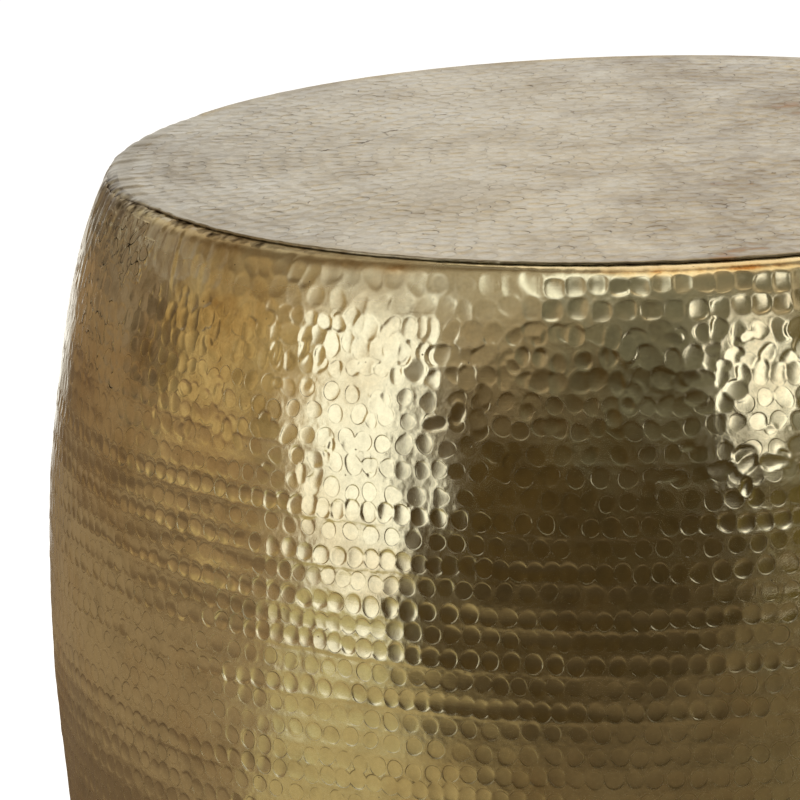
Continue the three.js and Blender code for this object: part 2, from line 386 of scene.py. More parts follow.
@dataclass
class MeshMaker:
    """Gathers places and faces, and makes one mesh object of them."""

    places: list[np.ndarray] = field(default_factory=list)
    faces: list[np.ndarray] = field(default_factory=list)
    maps: list[np.ndarray] = field(default_factory=list)
    size: int = 0

    def put(self, places: np.ndarray, flat: np.ndarray) -> np.ndarray:
        """Adds places and where they lie on the flat map.

        Args:
            places: Points in metres, in any net with three values last.
            flat: Their two map values, in the same net.

        Returns:
            The numbers of the places, in the same net.
        """
        shape = places.shape[:-1]
        count = int(np.prod(shape))
        self.places.append(places.reshape(-1, 3))
        self.maps.append(flat.reshape(-1, 2))
        numbers = np.arange(self.size, self.size + count).reshape(shape)
        self.size += count
        return numbers

    def net(self, numbers: np.ndarray) -> None:
        """Adds the four-sided faces of a net of rows that run right round, seen from outside.

        Args:
            numbers: Numbers of the net's places, by row and column.
        """
        above, below = numbers[:-1], numbers[1:]
        across_above, across_below = np.roll(above, -1, axis=1), np.roll(below, -1, axis=1)
        self.faces.append(np.stack([above, below, across_below, across_above], axis=-1).reshape(-1, 4))

    def make(self, name: str) -> bpy.types.Object:
        """Makes the object.

        Args:
            name: Its name.

        Returns:
            The object, smooth shaded, with its flat map named OFBake.
        """
        sides = np.concatenate([np.full(len(f), f.shape[1]) for f in self.faces])
        corners = np.concatenate([f.ravel() for f in self.faces]).astype(np.int32)
        starts = np.concatenate([[0], np.cumsum(sides)[:-1]]).astype(np.int32)
        mesh = bpy.data.meshes.new(name)
        mesh.vertices.add(self.size)
        mesh.vertices.foreach_set("co", np.concatenate(self.places).astype(np.float32).ravel())
        mesh.loops.add(len(corners))
        mesh.loops.foreach_set("vertex_index", corners)
        mesh.polygons.add(len(sides))
        mesh.polygons.foreach_set("loop_start", starts)
        mesh.update(calc_edges=True)
        mesh.polygons.foreach_set("use_smooth", np.ones(len(sides), dtype=bool))
        flat = np.concatenate(self.maps)[corners]
        # A face across the map's seam runs on past its end
        furthest = np.repeat(np.maximum.reduceat(flat[:, 0], starts), sides)
        flat[:, 0] = np.where((furthest > 0.75) & (flat[:, 0] < 0.25), flat[:, 0] + 1.0, flat[:, 0])
        flat[:, 0] *= MAP_WIDTH
        layer = mesh.uv_layers.new(name="OFBake")
        layer.data.foreach_set("uv", flat.astype(np.float32).ravel())
        return put(name, mesh)


def carry(mesh: bpy.types.Mesh, name: str, values: np.ndarray) -> None:
    """Stores a number at each place of a mesh for its material to read.

    Args:
        mesh: The mesh.
        name: The name the material uses.
        values: One number for each place, or for the first of them, the rest being zero.
    """
    whole = np.zeros(len(mesh.vertices), dtype=np.float32)
    whole[: values.size] = values.ravel()
    mesh.attributes.new(name, "FLOAT", "POINT").data.foreach_set("value", whole)


class Rows(Enum):
    """How a row of hammer marks was struck."""

    PLANISHED = "planished"
    SQUARED = "squared"
    FACETS = "facets"
    SCATTERED = "scattered"
    LOOSE = "loose"
    CLOSE = "close"
    DEEP = "deep"


@dataclass(frozen=True)
class Mark:
    """Sizes of the marks in one kind of row, in mm; a pair is the lowest and the highest.

    Args:
        radius: Radius of a mark.
        step: Depth of its rim.
        bowl: Further depth of its middle.
        pitch: From one mark to the next.
        tall: How much taller it is than wide.
        wander: How far the hand wandered.
        tilt: Spread of the slope of its floor.
        edge: Width over which its rim falls.
        lip: Height of the metal pushed up round it.
        rim: How crisply its rim shows.
        corner: 2 for round marks, more for squarer ones.
    """

    radius: tuple[float, float]
    step: tuple[float, float]
    bowl: tuple[float, float]
    pitch: tuple[float, float]
    tall: tuple[float, float]
    wander: float
    tilt: float
    edge: float
    lip: float
    rim: float
    corner: float = 2.0


MARKS: dict[Rows, Mark] = {
    Rows.PLANISHED: Mark((4.0, 5.4), (0.0, 0.04), (0.11, 0.21), (7.5, 11.0), (0.8, 1.4), 2.4, 0.018, 2.0, 0.0, 0.0),
    Rows.SQUARED: Mark(
        (3.9, 4.3), (0.04, 0.08), (0.18, 0.28), (8.6, 9.6), (0.9, 1.1), 0.9, 0.024, 1.2, 0.03, 0.35, corner=2.7
    ),
    Rows.FACETS: Mark((3.3, 5.2), (0.0, 0.05), (0.07, 0.18), (6.2, 9.4), (0.75, 1.6), 1.6, 0.028, 0.9, 0.02, 0.3),
    Rows.SCATTERED: Mark((3.3, 4.1), (0.01, 0.05), (0.04, 0.10), (7.8, 10.4), (0.9, 1.2), 1.3, 0.014, 0.8, 0.02, 0.9),
    Rows.LOOSE: Mark((3.5, 3.95), (0.02, 0.05), (0.04, 0.11), (7.9, 9.8), (0.97, 1.14), 0.7, 0.013, 0.7, 0.015, 1.1),
    Rows.CLOSE: Mark((3.6, 4.0), (0.03, 0.07), (0.07, 0.14), (7.5, 8.5), (1.0, 1.18), 0.7, 0.015, 0.7, 0.02, 1.15),
    Rows.DEEP: Mark((3.7, 4.15), (0.05, 0.10), (0.11, 0.20), (7.4, 8.4), (1.0, 1.2), 0.6, 0.022, 0.7, 0.03, 1.2),
}
# Blows between the rows, and the rings of the top; their edges vary, so the sharpest is given here
STRAY = Mark((2.2, 4.6), (0.0, 0.06), (0.06, 0.18), (0.0, 0.0), (0.5, 1.9), 0.0, 0.028, 0.7, 0.02, 0.25)
RINGS = Mark((3.2, 4.7), (0.01, 0.09), (0.08, 0.22), (7.4, 9.8), (0.75, 1.35), 0.9, 0.022, 0.7, 0.02, 1.0)


@dataclass(frozen=True)
class HammeredBrass:
    """Brass sheet, hammered cold, aged and lacquered.

    The marks are burnished smooth by the punch and shine like a dull mirror; the metal between them keeps a satin
    grain, and the old lacquer has gone browner in patches; painted shade and dark lacquer darken the rims of the marks.

    Args:
        name: The material's name.
        metal: Brass seen straight on.
        tarnish: Brass under the browner lacquer.
        burnt: Brass that was heated for solder.
        bare: Brass from which the lacquer has worn off.
        grime_and_shade: Colour of what darkens the metal: soiling in pits, smudges and speckles, and soiling with
            painted shade in the rims.
        shine: Roughness in the marks where the sheet is brightest and where it is dullest.
        grain: Extra roughness between the marks.
        rim_mm: Depth of the crisp rim drawn round each mark.
        rim_grime_and_shade: How much soiling and painted shade darken the rim.
        rim_rough: Extra roughness of the rim, which the punch's edge tore a little.
        brushed_mm: Height of the fine level lines.
        tooth_mm: Height of the grain in the marks and between them.
        smudge: How much the smudges darken the metal.
        speckle: How much the speckles darken the metal.
        speck: Share of the small pits that show.
        pit_dark: How much the soiling darkens them.
    """

    name: str
    metal: str
    tarnish: str
    burnt: str
    bare: str
    grime_and_shade: str
    shine: tuple[float, float]
    grain: float
    rim_mm: float
    rim_grime_and_shade: float
    rim_rough: float
    brushed_mm: float
    tooth_mm: tuple[float, float]
    smudge: float
    speckle: float
    speck: float
    pit_dark: float = 0.8

    def material(self) -> bpy.types.Material:
        """Makes the finish, which reads the marks' places and the dull and stained parts from the mesh.

        Returns:
            The material.
        """
        made = bpy.data.materials.new(self.name)
        node = blank(made)
        place = node("TexCoord").outputs["Object"]
        past, crisp, dull, stain, worn = (
            node("Attribute", {"attribute_name": name}).outputs["Fac"]
            for name in ("past_rim", "crisp", "dull", "stain", "worn")
        )
        # No rim is as crisp all the way round: it fades in and out every 4 mm or so
        uneven = node("TexNoise", {"Scale": 240.0, "Detail": 1.0}, {"Vector": place})
        fading = node("MapRange", span(0.36, 0.66, 0.12), {"Value": uneven})
        rim = node("Math", TIMES, {0: crisp, 1: fading})
        # It falls over half a mm, and the soiling and painted shade lie within 0.4 mm of it
        outside = node("MapRange", EASED | span(-0.3, 0.25), {"Value": past})
        near = node("Math", {"operation": "ABSOLUTE"}, {0: past})
        line = node("MapRange", EASED | span(0.0, 0.42, 1.0, 0.0), {"Value": near})
        rim_line = node("Math", TIMES, {0: line, 1: rim})
        # Level lines from wiping the wall round with a pad, about a mm apart
        stretched = node("VectorMath", TIMES | {1: (40.0, 40.0, 1000.0)}, {0: place})
        lines = node("TexNoise", {"Scale": 1.0, "Detail": 2.0, "Roughness": 0.6}, {"Vector": stretched})
        # Satin grain between the marks, drawn 1 mm coarse because the real grain is too fine to show
        fine = node("TexNoise", {"Scale": 1000.0, "Detail": 3.0, "Roughness": 0.75}, {"Vector": place})
        toothed = node("MapRange", span(0.0, 1.0, *self.tooth_mm), {"Value": outside})
        # Soft dents from handling, 6 to 15 mm across
        dents = node("TexNoise", {"Scale": 95.0, "Detail": 1.0}, {"Vector": place})
        # Small pits and knocks some 5 mm apart
        pits = node("TexVoronoi", {"feature": "F1", "Scale": 210.0, "Randomness": 1.0}, {"Vector": place})
        pit = node("MapRange", EASED | span(0.03, 0.10, 1.0, 0.0), {"Value": pits.outputs["Distance"]})
        pick = node("SeparateColor", {}, {0: pits.outputs["Color"]})
        kept = node("Math", {"operation": "LESS_THAN", 1: self.speck}, {0: pick})
        pitted = node("Math", TIMES, {0: pit, 1: kept})
        # Patches of browner lacquer, 20 to 80 mm across, with dirtier and cleaner spots of 5 to 20 mm in them
        patches = {"Scale": 16.0, "Detail": 5.0, "Roughness": 0.62, "Distortion": 0.4}
        cloud = node("TexNoise", patches, {"Vector": place})
        smudge = node("TexNoise", {"Scale": 60.0, "Detail": 4.0, "Roughness": 0.7}, {"Vector": place})
        clouded = node("MapRange", span(0.34, 0.74, -0.35, 0.55), {"Value": cloud})
        patchy = node("MapRange", span(0.36, 0.64, 0.45, 1.45), {"Value": smudge})
        # The stored value also carries painted shadow, which browns and darkens the metal like the lacquer
        browned_and_shaded = node("Math", TIMES_PLUS, {0: stain, 1: patchy, 2: clouded})
        skin = node("Mix", {"data_type": "RGBA", 6: linear(self.metal), 7: linear(self.tarnish)}, {0: browned_and_shaded})
        # Where it was heated for solder it is burnt orange
        heated = node("MapRange", span(0.9, 1.5, 0.0, 0.9), {"Value": browned_and_shaded})
        smudged = node("MapRange", span(0.48, 0.72, 0.0, self.smudge), {"Value": smudge})
        # Speckled lacquer: the tone changes a little every mm or two
        speckle = node("TexNoise", {"Scale": 520.0, "Detail": 4.0, "Roughness": 0.7}, {"Vector": place})
        flecked = node("MapRange", span(0.3, 0.7, self.speckle, 0.0), {"Value": speckle})
        # Painted shade and soiling darken the rims, soiling alone the pits
        rim_share = node("Math", TIMES | {1: self.rim_grime_and_shade}, {0: rim_line})
        pit_share = node("Math", TIMES | {1: self.pit_dark}, {0: pitted})
        dirt_and_shade = node("Math", {"operation": "MAXIMUM"}, {0: rim_share, 1: pit_share})
        films = [(self.burnt, heated), (self.bare, worn), (self.grime_and_shade, smudged), (self.grime_and_shade, flecked)]
        for tone, share in (*films, (self.grime_and_shade, dirt_and_shade)):
            skin = node("Mix", {"data_type": "RGBA", 7: linear(tone)}, {0: share, 6: skin})
        base = node("MapRange", span(0.0, 1.0, *self.shine), {"Value": dull})
        rough = node("Math", TIMES_PLUS | {1: self.grain}, {0: outside, 2: base})
        mottle = node("MapRange", span(0.3, 0.7, -0.03, 0.05), {"Value": cloud})
        rough = node("Math", {"operation": "ADD"}, {0: rough, 1: mottle})
        rough = node("Math", TIMES_PLUS | {"use_clamp": True, 1: self.rim_rough}, {0: rim_line, 2: rough})
        rim_up = node("Math", TIMES, {0: outside, 1: rim})
        relief = node("Math", TIMES | {1: self.rim_mm}, {0: rim_up})
        relief = node("Math", TIMES_PLUS | {1: self.brushed_mm}, {0: lines, 2: relief})
        relief = node("Math", TIMES_PLUS, {0: fine, 1: toothed, 2: relief})
        for height, pattern in ((DENT_MM, dents), (-PIT_MM, pitted)):
            relief = node("Math", TIMES_PLUS | {1: height}, {0: pattern, 2: relief})
        bump = node("Bump", {"Strength": 1.0, "Distance": MM}, {"Height": relief})
        shader = node("BsdfPrincipled", {"Metallic": 1.0}, {"Base Color": skin, "Roughness": rough, "Normal": bump})
        node("OutputMaterial", {}, {"Surface": shader})
        return made


@dataclass(frozen=True)
class PlainFinish:
    """A painted, plated, pressed or moulded finish with a mottled colour and a fine relief.

    Args:
        name: The material's name.
        light: Lighter tone.
        dark: Darker tone.
        metallic: 1 for bare metal.
        rough: Lowest and highest roughness.
        mottle_mm: Size of the patches.
        relief_mm: Size of the relief.
        relief_depth_mm: Its height.
        stretch: How much longer the relief is along each axis.
    """

    name: str
    light: str
    dark: str
    metallic: float
    rough: tuple[float, float]
    mottle_mm: float
    relief_mm: float
    relief_depth_mm: float
    stretch: tuple[float, float, float] = (1.0, 1.0, 1.0)

    def material(self) -> bpy.types.Material:
        """Makes the finish.

        Returns:
            The material.
        """
        made = bpy.data.materials.new(self.name)
        node = blank(made)
        place = node("TexCoord").outputs["Object"]
        drawn = node("VectorMath", {"operation": "DIVIDE", 1: self.stretch}, {0: place})
        patches = node("TexNoise", {"Scale": 1000 / self.mottle_mm, "Detail": 4.0, "Roughness": 0.6}, {"Vector": place})
        share = node("MapRange", span(0.3, 0.7), {"Value": patches})
        colour = node("Mix", {"data_type": "RGBA", 6: linear(self.light), 7: linear(self.dark)}, {0: share})
        rough = node("MapRange", span(0.0, 1.0, *self.rough), {"Value": share})
        tooth = node("TexNoise", {"Scale": 1000 / self.relief_mm, "Detail": 3.0}, {"Vector": drawn})
        bump = node("Bump", {"Strength": 1.0, "Distance": self.relief_depth_mm * MM}, {"Height": tooth})
        feeds = {"Base Color": colour, "Roughness": rough, "Normal": bump}
        node("OutputMaterial", {}, {"Surface": node("BsdfPrincipled", {"Metallic": self.metallic}, feeds)})
        return made


# Hammered brass sheet, aged under lacquer: a warm dull mirror in the marks, satin between them
BRASS_WALL = HammeredBrass(
    name="hammered_aged_brass_wall",
    metal="#f2eac8",
    tarnish="#dfc594",
    burnt="#c08444",
    bare="#d6ccb6",
    # Colour of the soiling, and of the painted shade in the rims and under the joint
    grime_and_shade="#3a2a16",
    shine=(0.12, 0.34),
    grain=0.06,
    rim_mm=0.08,
    rim_grime_and_shade=0.34,
    rim_rough=0.19,
    brushed_mm=0.010,
    tooth_mm=(0.005, 0.016),
    smudge=0.22,
    speckle=0.13,
    speck=0.12,
)
# The same sheet on top, dulled by use: its marks blur into a soft pale sheen
BRASS_TOP = HammeredBrass(
    name="hammered_dulled_brass_top",
    metal="#cbc4af",
    tarnish="#9a8e76",
    burnt="#c08444",
    bare="#d6ccb6",
    # Colour of the soiling, and of the painted shade in the rims and on the edge
    grime_and_shade="#463624",
    shine=(0.20, 0.46),
    grain=0.06,
    rim_mm=0.14,
    rim_grime_and_shade=0.8,
    rim_rough=0.10,
    brushed_mm=0.0,
    tooth_mm=(0.012, 0.018),
    smudge=0.20,
    speckle=0.25,
    speck=0.10,
)
# Flat bar painted black by brush: dull black with faint strokes
BLACK_IRON = PlainFinish(
    "brush_painted_black_iron", "#3a3937", "#262524", 0.0, (0.42, 0.6), 30.0, 1.6, 0.05, (6.0, 6.0, 1.0)
)
# Drawn steel wire: grey, bright along its length, with a little rust brown
STEEL_WIRE = PlainFinish("drawn_steel_wire", "#a8a49c", "#7d7366", 1.0, (0.28, 0.5), 14.0, 0.8, 0.02)
# Pressed fibreboard: flat tan with fine fibres
FIBREBOARD = PlainFinish("pressed_fibreboard", "#b8966a", "#9c7c54", 0.0, (0.75, 0.9), 18.0, 0.9, 0.06, (3.0, 3.0, 1.0))
# Moulded rubber: near black and matt with a fine bloom
RUBBER = PlainFinish("moulded_black_rubber", "#2b2a29", "#1d1c1c", 0.0, (0.6, 0.78), 9.0, 0.5, 0.03)
# Zinc-plated steel: cool grey with a faint blue cast
ZINC = PlainFinish("zinc_plated_steel", "#c3c6c8", "#9da1a4", 1.0, (0.25, 0.4), 5.0, 0.4, 0.01)


@dataclass
class BarrelWall:
    """The wall: one hammered brass sheet, from the flange under the top to the hem rolled round its wire.

    Sizes are in mm. Azimuths are in degrees, anticlockwise from above, with 270 facing the front.
    """

    belly_radius: float = 280.0
    belly_height: float = 215.0
    shoulder_radius: float = 244.0
    shoulder_height: float = 433.9
    joint_radius: float = 236.8
    joint_height: float = 438.5
    roll_corner: float = 241.5
    foot_radius: float = 249.0
    foot_height: float = 6.2
    overshoot: float = 25.0
    hem_centre: tuple[float, float] = (245.75, 7.5)
    hem_radius: float = 3.5
    hem_turn: float = 240.0
    sheet: float = 1.2
    # Step of the outline's points, and how far a row wavers
    step: float = 0.25
    waver: float = 0.55
    strays: int = 480
    scars: int = 40
    deep_rows: tuple[int, ...] = (10, 12, 14, 16, 18, 22, 27, 31, 36)
    # The mesh is finer between these azimuths and above this depth
    fine: tuple[float, float] = (181.0, 303.0)
    fine_depth: float = 268.0
    fine_cell: float = 0.7
    coarse_cell: float = 1.6
    row_pitch: float = 9.6
    first_row: float = 15.2
    seed: int = 11

    def half(self, radius: float, level: float, count: int = 400) -> np.ndarray:
        """Points on one half of the barrel, from the belly to its end.

        Args:
            radius: Radius at the end.
            level: Height of the end.
            count: How many points.

        Returns:
            Radius and height pairs.
        """
        reach = abs(level - self.belly_height)
        semi = reach + self.overshoot
        end = math.asin(reach / semi)
        wide = (self.belly_radius - radius) / (1 - math.cos(end))
        turn = np.linspace(0, end, count)
        side = math.copysign(semi, level - self.belly_height)
        return np.stack(
            [self.belly_radius - wide * (1 - np.cos(turn)), self.belly_height + side * np.sin(turn)], axis=1
        )

    def roll(self, share: np.ndarray, above: np.ndarray | float = 0.0) -> np.ndarray:
        """Points on or above the rolled shoulder.

        Args:
            share: How far along it, from 0 at the joint to 1 at the barrel.
            above: Distance above its face, in mm.

        Returns:
            Radius and height pairs.
        """
        joint, corner = (np.array([r, self.joint_height]) for r in (self.joint_radius, self.roll_corner))
        foot, part = np.array([self.shoulder_radius, self.shoulder_height]), share[..., None]
        face = (1 - part) ** 2 * joint + 2 * part * (1 - part) * corner + part**2 * foot
        along = (1 - part) * (corner - joint) + part * (foot - corner)
        along = along / np.linalg.norm(along, axis=-1, keepdims=True)
        out = np.stack([-along[..., 1], along[..., 0]], axis=-1)
        return face + out * np.asarray(above)[..., None]

    def outline(self) -> tuple[np.ndarray, np.ndarray]:
        """The wall's outer face, cut through.

        Returns:
            Points one step apart from the flange under the top, over the rolled shoulder and down to the hem, and
            the unit vectors that point out of the face.
        """
        upper = self.half(self.shoulder_radius, self.shoulder_height)[::-1]
        lower = self.half(self.foot_radius, self.foot_height)[1:]
        roll = self.roll(np.linspace(0, 1, 24, endpoint=False))
        corners = np.concatenate([roll[:1] - [[3.8, 0]], roll, upper, lower])
        run = np.concatenate([[0], np.cumsum(np.hypot(*np.diff(corners, axis=0).T))])
        even = np.arange(0, run[-1], self.step)
        points = np.stack([np.interp(even, run, corners[:, k]) for k in (0, 1)], axis=1)
        # Evened out over a few steps, so that the bends have a radius of at least a mm
        reach, spread = 12, 3.2
        weights = np.exp(-0.5 * (np.arange(-reach, reach + 1) / spread) ** 2)
        weights /= weights.sum()
        padded = np.pad(points, ((reach, reach), (0, 0)), mode="reflect", reflect_type="odd")
        points = np.stack([np.convolve(padded[:, k], weights, mode="valid") for k in (0, 1)], axis=1)
        along = np.gradient(points, axis=0)
        along /= np.linalg.norm(along, axis=1, keepdims=True)
        return points, np.stack([-along[:, 1], along[:, 0]], axis=1)

    def kinds(self, number: int, azimuth: float) -> Rows:
        """The kind of row at a place.

        Args:
            number: Row number, from the shoulder down.
            azimuth: Where on the row, in degrees.

        Returns:
            How it was struck.
        """
        right = 262.0 < azimuth < 330.0
        if number < 2:
            return Rows.SQUARED if right else Rows.PLANISHED
        if number == 2 and azimuth < 234.0:
            return Rows.PLANISHED
        if number < 5:
            return Rows.FACETS
        if number < 10:
            return Rows.SCATTERED
        if number in self.deep_rows:
            return Rows.DEEP
        return Rows.CLOSE if number % 3 == 0 else Rows.LOOSE

    def hammer(self, length: float, radii: np.ndarray) -> HammerMap:
        """Hammers the whole wall, row after row.

        Args:
            length: Length of the wall from flange to hem, in mm.
            radii: Radius of the wall at each mm down.

        Returns:
            The laid-out sheet with its marks.
        """
        rng = np.random.default_rng(self.seed)
        turn_mm = 2 * math.pi * self.belly_radius
        work = HammerMap(turn_mm, length, NET_MM, True)
        turn = np.arange(work.columns) * 2 * math.pi / work.columns
        down = np.arange(work.rows) * work.cell
        gate = smooth((down - 5.0) / 8.0)[:, None]
        for size, waves in ((0.42, Swell(3, (70.0, 150.0), 14, turn_mm)), (0.10, Swell(4, (26.0, 48.0), 18, turn_mm))):
            work.height += size * gate * waves.over(turn, down)
        base = work.height.copy()
        work.height[:] = 0
        self.grooves(work, turn, down)
        count = int((length - 12 - self.first_row) / self.row_pitch) + 1
        for number in range(count):
            middle = self.first_row + self.row_pitch * number
            waver = Swell(50 + number, (90.0, 260.0), 5, turn_mm).ring(turn)
            self.row(work, rng, number, middle, waver, radii)
            deep = self.kinds(number, 250.0) is Rows.DEEP
            if deep or number == 7:
                self.ledge(work, number, middle + 4.7, waver, 0.22 if deep else 0.12)
        for _ in range(self.strays):
            self.stray(work, rng, radii)
        for _ in range(self.scars):
            self.scar(work, rng)
        work.height += base
        self.puckers(work, rng)
        folds = gathers(turn)[1][None, :] * (smooth(down / 5.0) * (1 - smooth((down - 10.0) / 22.0)))[:, None]
        work.height += folds.astype(np.float32)
        return work

    def puckers(self, work: HammerMap, rng: np.random.Generator) -> None:
        """Gathers the sheet in small upright folds where it was drawn in over the shoulder.

        Args:
            work: The sheet.
            rng: Where the sizes of the folds come from.
        """
        across = np.arange(work.columns) * work.cell_x
        down = (np.arange(int(46 / work.cell)) * work.cell)[:, None]
        x = 0.0
        while x < work.width:
            x += rng.uniform(7.0, 15.0)
            azimuth = math.degrees(x / self.belly_radius) % 360
            drawn = 1.0 if 150 < azimuth < 224 else 0.25
            depth, wide, foot = rng.uniform(0.06, 0.30) * drawn, rng.uniform(1.6, 3.4), rng.uniform(14, 34)
            away = (across - x + work.width / 2) % work.width - work.width / 2
            bent = away[None, :] - rng.normal(0, 0.12) * (down - 8)
            fold = np.exp(-((bent / wide) ** 2)) - 0.5 * np.exp(-(((bent - 1.8 * wide) / wide) ** 2))
            work.height[: len(down)] += (depth * fold * (1 - smooth((down - foot / 2) / foot))).astype(np.float32)

    def grooves(self, work: HammerMap, turn: np.ndarray, down: np.ndarray) -> None:
        """Lets the sheet down a little along each row and leaves it standing between them.

        Args:
            work: The sheet.
            turn: Azimuth of each column, in radians.
            down: Distance of each row of the net, in mm.
        """
        phase = 2 * math.pi * (down - self.first_row - 0.6) / self.row_pitch
        depth = np.clip(0.5 + 0.5 * Swell(90, (60.0, 220.0), 12, work.width).over(turn, down), 0, 1.4)
        gate = smooth((down - 34.0) / 60.0)[:, None]
        work.height -= (0.06 * gate * depth * (1 + np.cos(phase))[:, None]).astype(np.float32)

    def row(
        self,
        work: HammerMap,
        rng: np.random.Generator,
        number: int,
        middle: float,
        waver: np.ndarray,
        radii: np.ndarray,
    ) -> None:
        """Strikes one row of marks right round.

        Args:
            work: The sheet.
            rng: Where the wander of the hand comes from.
            number: Row number.
            middle: Distance of the row from the flange, in mm.
            waver: How the row wavers, by column.
            radii: Radius of the wall at each mm down.
        """
        squeeze = float(radii[min(int(middle), len(radii) - 1)]) / self.belly_radius
        x = rng.uniform(0, 9)
        end = work.width + x - 6.0
        while x < end:
            azimuth = math.degrees(x / self.belly_radius) % 360
            mark = MARKS[self.kinds(number, azimuth)]
            column = int(x / work.cell_x) % work.columns
            crowd = 1.0 + 0.10 * waver[(column + 700) % work.columns]
            # The front was planished afterwards, which left its marks shallower, and the left side was struck harder
            force = 0.85 if number > 4 and 246 < azimuth < 300 else 1.3 if number > 9 and 150 < azimuth < 236 else 1.0
            tilt = rng.normal(0, mark.tilt * (0.5 if force < 1 else 1.0), 2)
            work.strike(
                x,
                middle + self.waver * float(waver[column]) + rng.normal(0, mark.wander / 2),
                rng.uniform(*mark.radius),
                rng.uniform(*mark.step) * force,
                rng.uniform(*mark.bowl) * force,
                (float(tilt[0]), float(tilt[1])),
                mark.edge,
                mark.lip,
                squeeze,
                mark.rim * rng.uniform(0.35, 1.0) * max(force, 1.0),
                rng.uniform(*mark.tall),
                mark.corner,
                (rng.normal(0, mark.wander * 0.035), rng.normal(0, mark.wander * 0.05)),
            )
            x += max(6.2, rng.uniform(*mark.pitch) * crowd) / squeeze

    def stray(self, work: HammerMap, rng: np.random.Generator, radii: np.ndarray) -> None:
        """Strikes one of the blows that fall between the rows, among the facets and the scattered marks.

        Args:
            work: The sheet.
            rng: Where the wander of the hand comes from.
            radii: Radius of the wall at each mm down.
        """
        y = float(rng.uniform(32, 100))
        squeeze = float(radii[int(y)]) / self.belly_radius
        tilt = rng.normal(0, STRAY.tilt, 2)
        work.strike(
            rng.uniform(0, work.width),
            y,
            rng.uniform(*STRAY.radius),
            rng.uniform(*STRAY.step),
            rng.uniform(*STRAY.bowl),
            (float(tilt[0]), float(tilt[1])),
            rng.uniform(STRAY.edge, 1.6),
            STRAY.lip,
            squeeze,
            STRAY.rim,
            rng.uniform(*STRAY.tall),
            STRAY.corner,
            (rng.normal(0, 0.05), rng.normal(0, 0.08)),
        )

    def scar(self, work: HammerMap, rng: np.random.Generator) -> None:
        """Leaves one of the wrinkles below the place where the sheet was drawn in, its crisp rim drawn dark by painted
        shade and soiling.

        Args:
            work: The sheet.
            rng: Where its place and size come from.
        """
        x = math.radians(rng.uniform(196.0, 212.0)) * self.belly_radius
        size, tall = rng.uniform(2.2, 3.9), rng.uniform(0.9, 1.6)
        wobble = (rng.normal(0, 0.15), rng.normal(0, 0.2))
        work.strike(x, rng.uniform(14, 84), size, 0.08, 0.05, (0.0, 0.0), 1.2, 0.04, 0.9, 4.0, tall, 2.0, wobble)

    def ledge(self, work: HammerMap, number: int, foot: float, waver: np.ndarray, depth: float) -> None:
        """Steps the sheet in under a row struck harder than the next, which left the row standing proud.

        Args:
            work: The sheet.
            number: Row number.
            foot: Distance of the step from the flange, in mm.
            waver: How the row wavers, by column.
            depth: Depth of the step, in mm.
        """
        turn = np.arange(work.columns) * 2 * math.pi / work.columns
        ripple = Swell(200 + number, (8.0, 20.0), 16, work.width).ring(turn)
        force = np.clip(0.65 + 0.6 * Swell(300 + number, (80.0, 300.0), 6, work.width).ring(turn), 0, 1.3)
        azimuth = np.degrees(turn)
        force = force * (1 - 0.5 * between(azimuth, 238.0, 14.0, 318.0, 14.0))
        line = (foot + self.waver * waver + 0.35 * ripple)[None, :]
        first, last = int((foot - 14) / work.cell), min(work.rows, int((foot + 4) / work.cell))
        down = (np.arange(first, last) * work.cell)[:, None]
        fall = np.exp(-np.clip(line - down, 0, None) / 4.5) * (1 - smooth((down - line + 0.4) / 0.8))
        work.height[first:last] += (depth * force[None, :] * fall).astype(np.float32)

    def places(self, detail: float) -> tuple[np.ndarray, np.ndarray]:
        """Chooses the azimuths of the columns, closer together on the side that the photograph shows.

        Args:
            detail: How much coarser than usual to be.

        Returns:
            Azimuths in radians, rising from the back, and the fine and coarse cells, in mm.
        """
        cells = np.array([self.fine_cell, self.coarse_cell]) * detail
        fine, coarse = cells / self.belly_radius
        low, high = (math.radians(a) for a in self.fine)
        start, end = math.radians(90), math.radians(450)
        before = np.linspace(start, low, round((low - start) / coarse), endpoint=False)
        inside = np.linspace(low, high, round((high - low) / fine), endpoint=False)
        after = np.linspace(high, end, round((end - high) / coarse), endpoint=False)
        return np.concatenate([before, inside, after]), cells

    def lay(self, work: HammerMap, layer: np.ndarray, turn: np.ndarray, rows: np.ndarray) -> np.ndarray:
        """Reads a layer of the hammered sheet at each row and azimuth.

        Args:
            work: The sheet.
            layer: The layer.
            turn: Azimuths, in radians.
            rows: Distances from the flange, in mm.

        Returns:
            The layer's values, by row and azimuth.
        """
        x = np.broadcast_to((turn % (2 * math.pi)) * self.belly_radius, (len(rows), len(turn)))
        return work.read(layer, x, np.broadcast_to(rows[:, None], x.shape))

    def build(self) -> bpy.types.Object:
        """Makes the wall's mesh and dresses it.

        Returns:
            The wall.
        """
        detail = 1.0
        points, out = self.outline()
        length = (len(points) - 1) * self.step
        at = np.arange(len(points)) * self.step
        work = self.hammer(length, np.interp(np.arange(0, length), at, points[:, 0]))
        turn, cells = self.places(detail)
        rows = np.concatenate(
            [np.arange(0, self.fine_depth, cells[0]), np.arange(self.fine_depth, length - 0.6, cells[1]), [length]]
        )
        maker = MeshMaker()
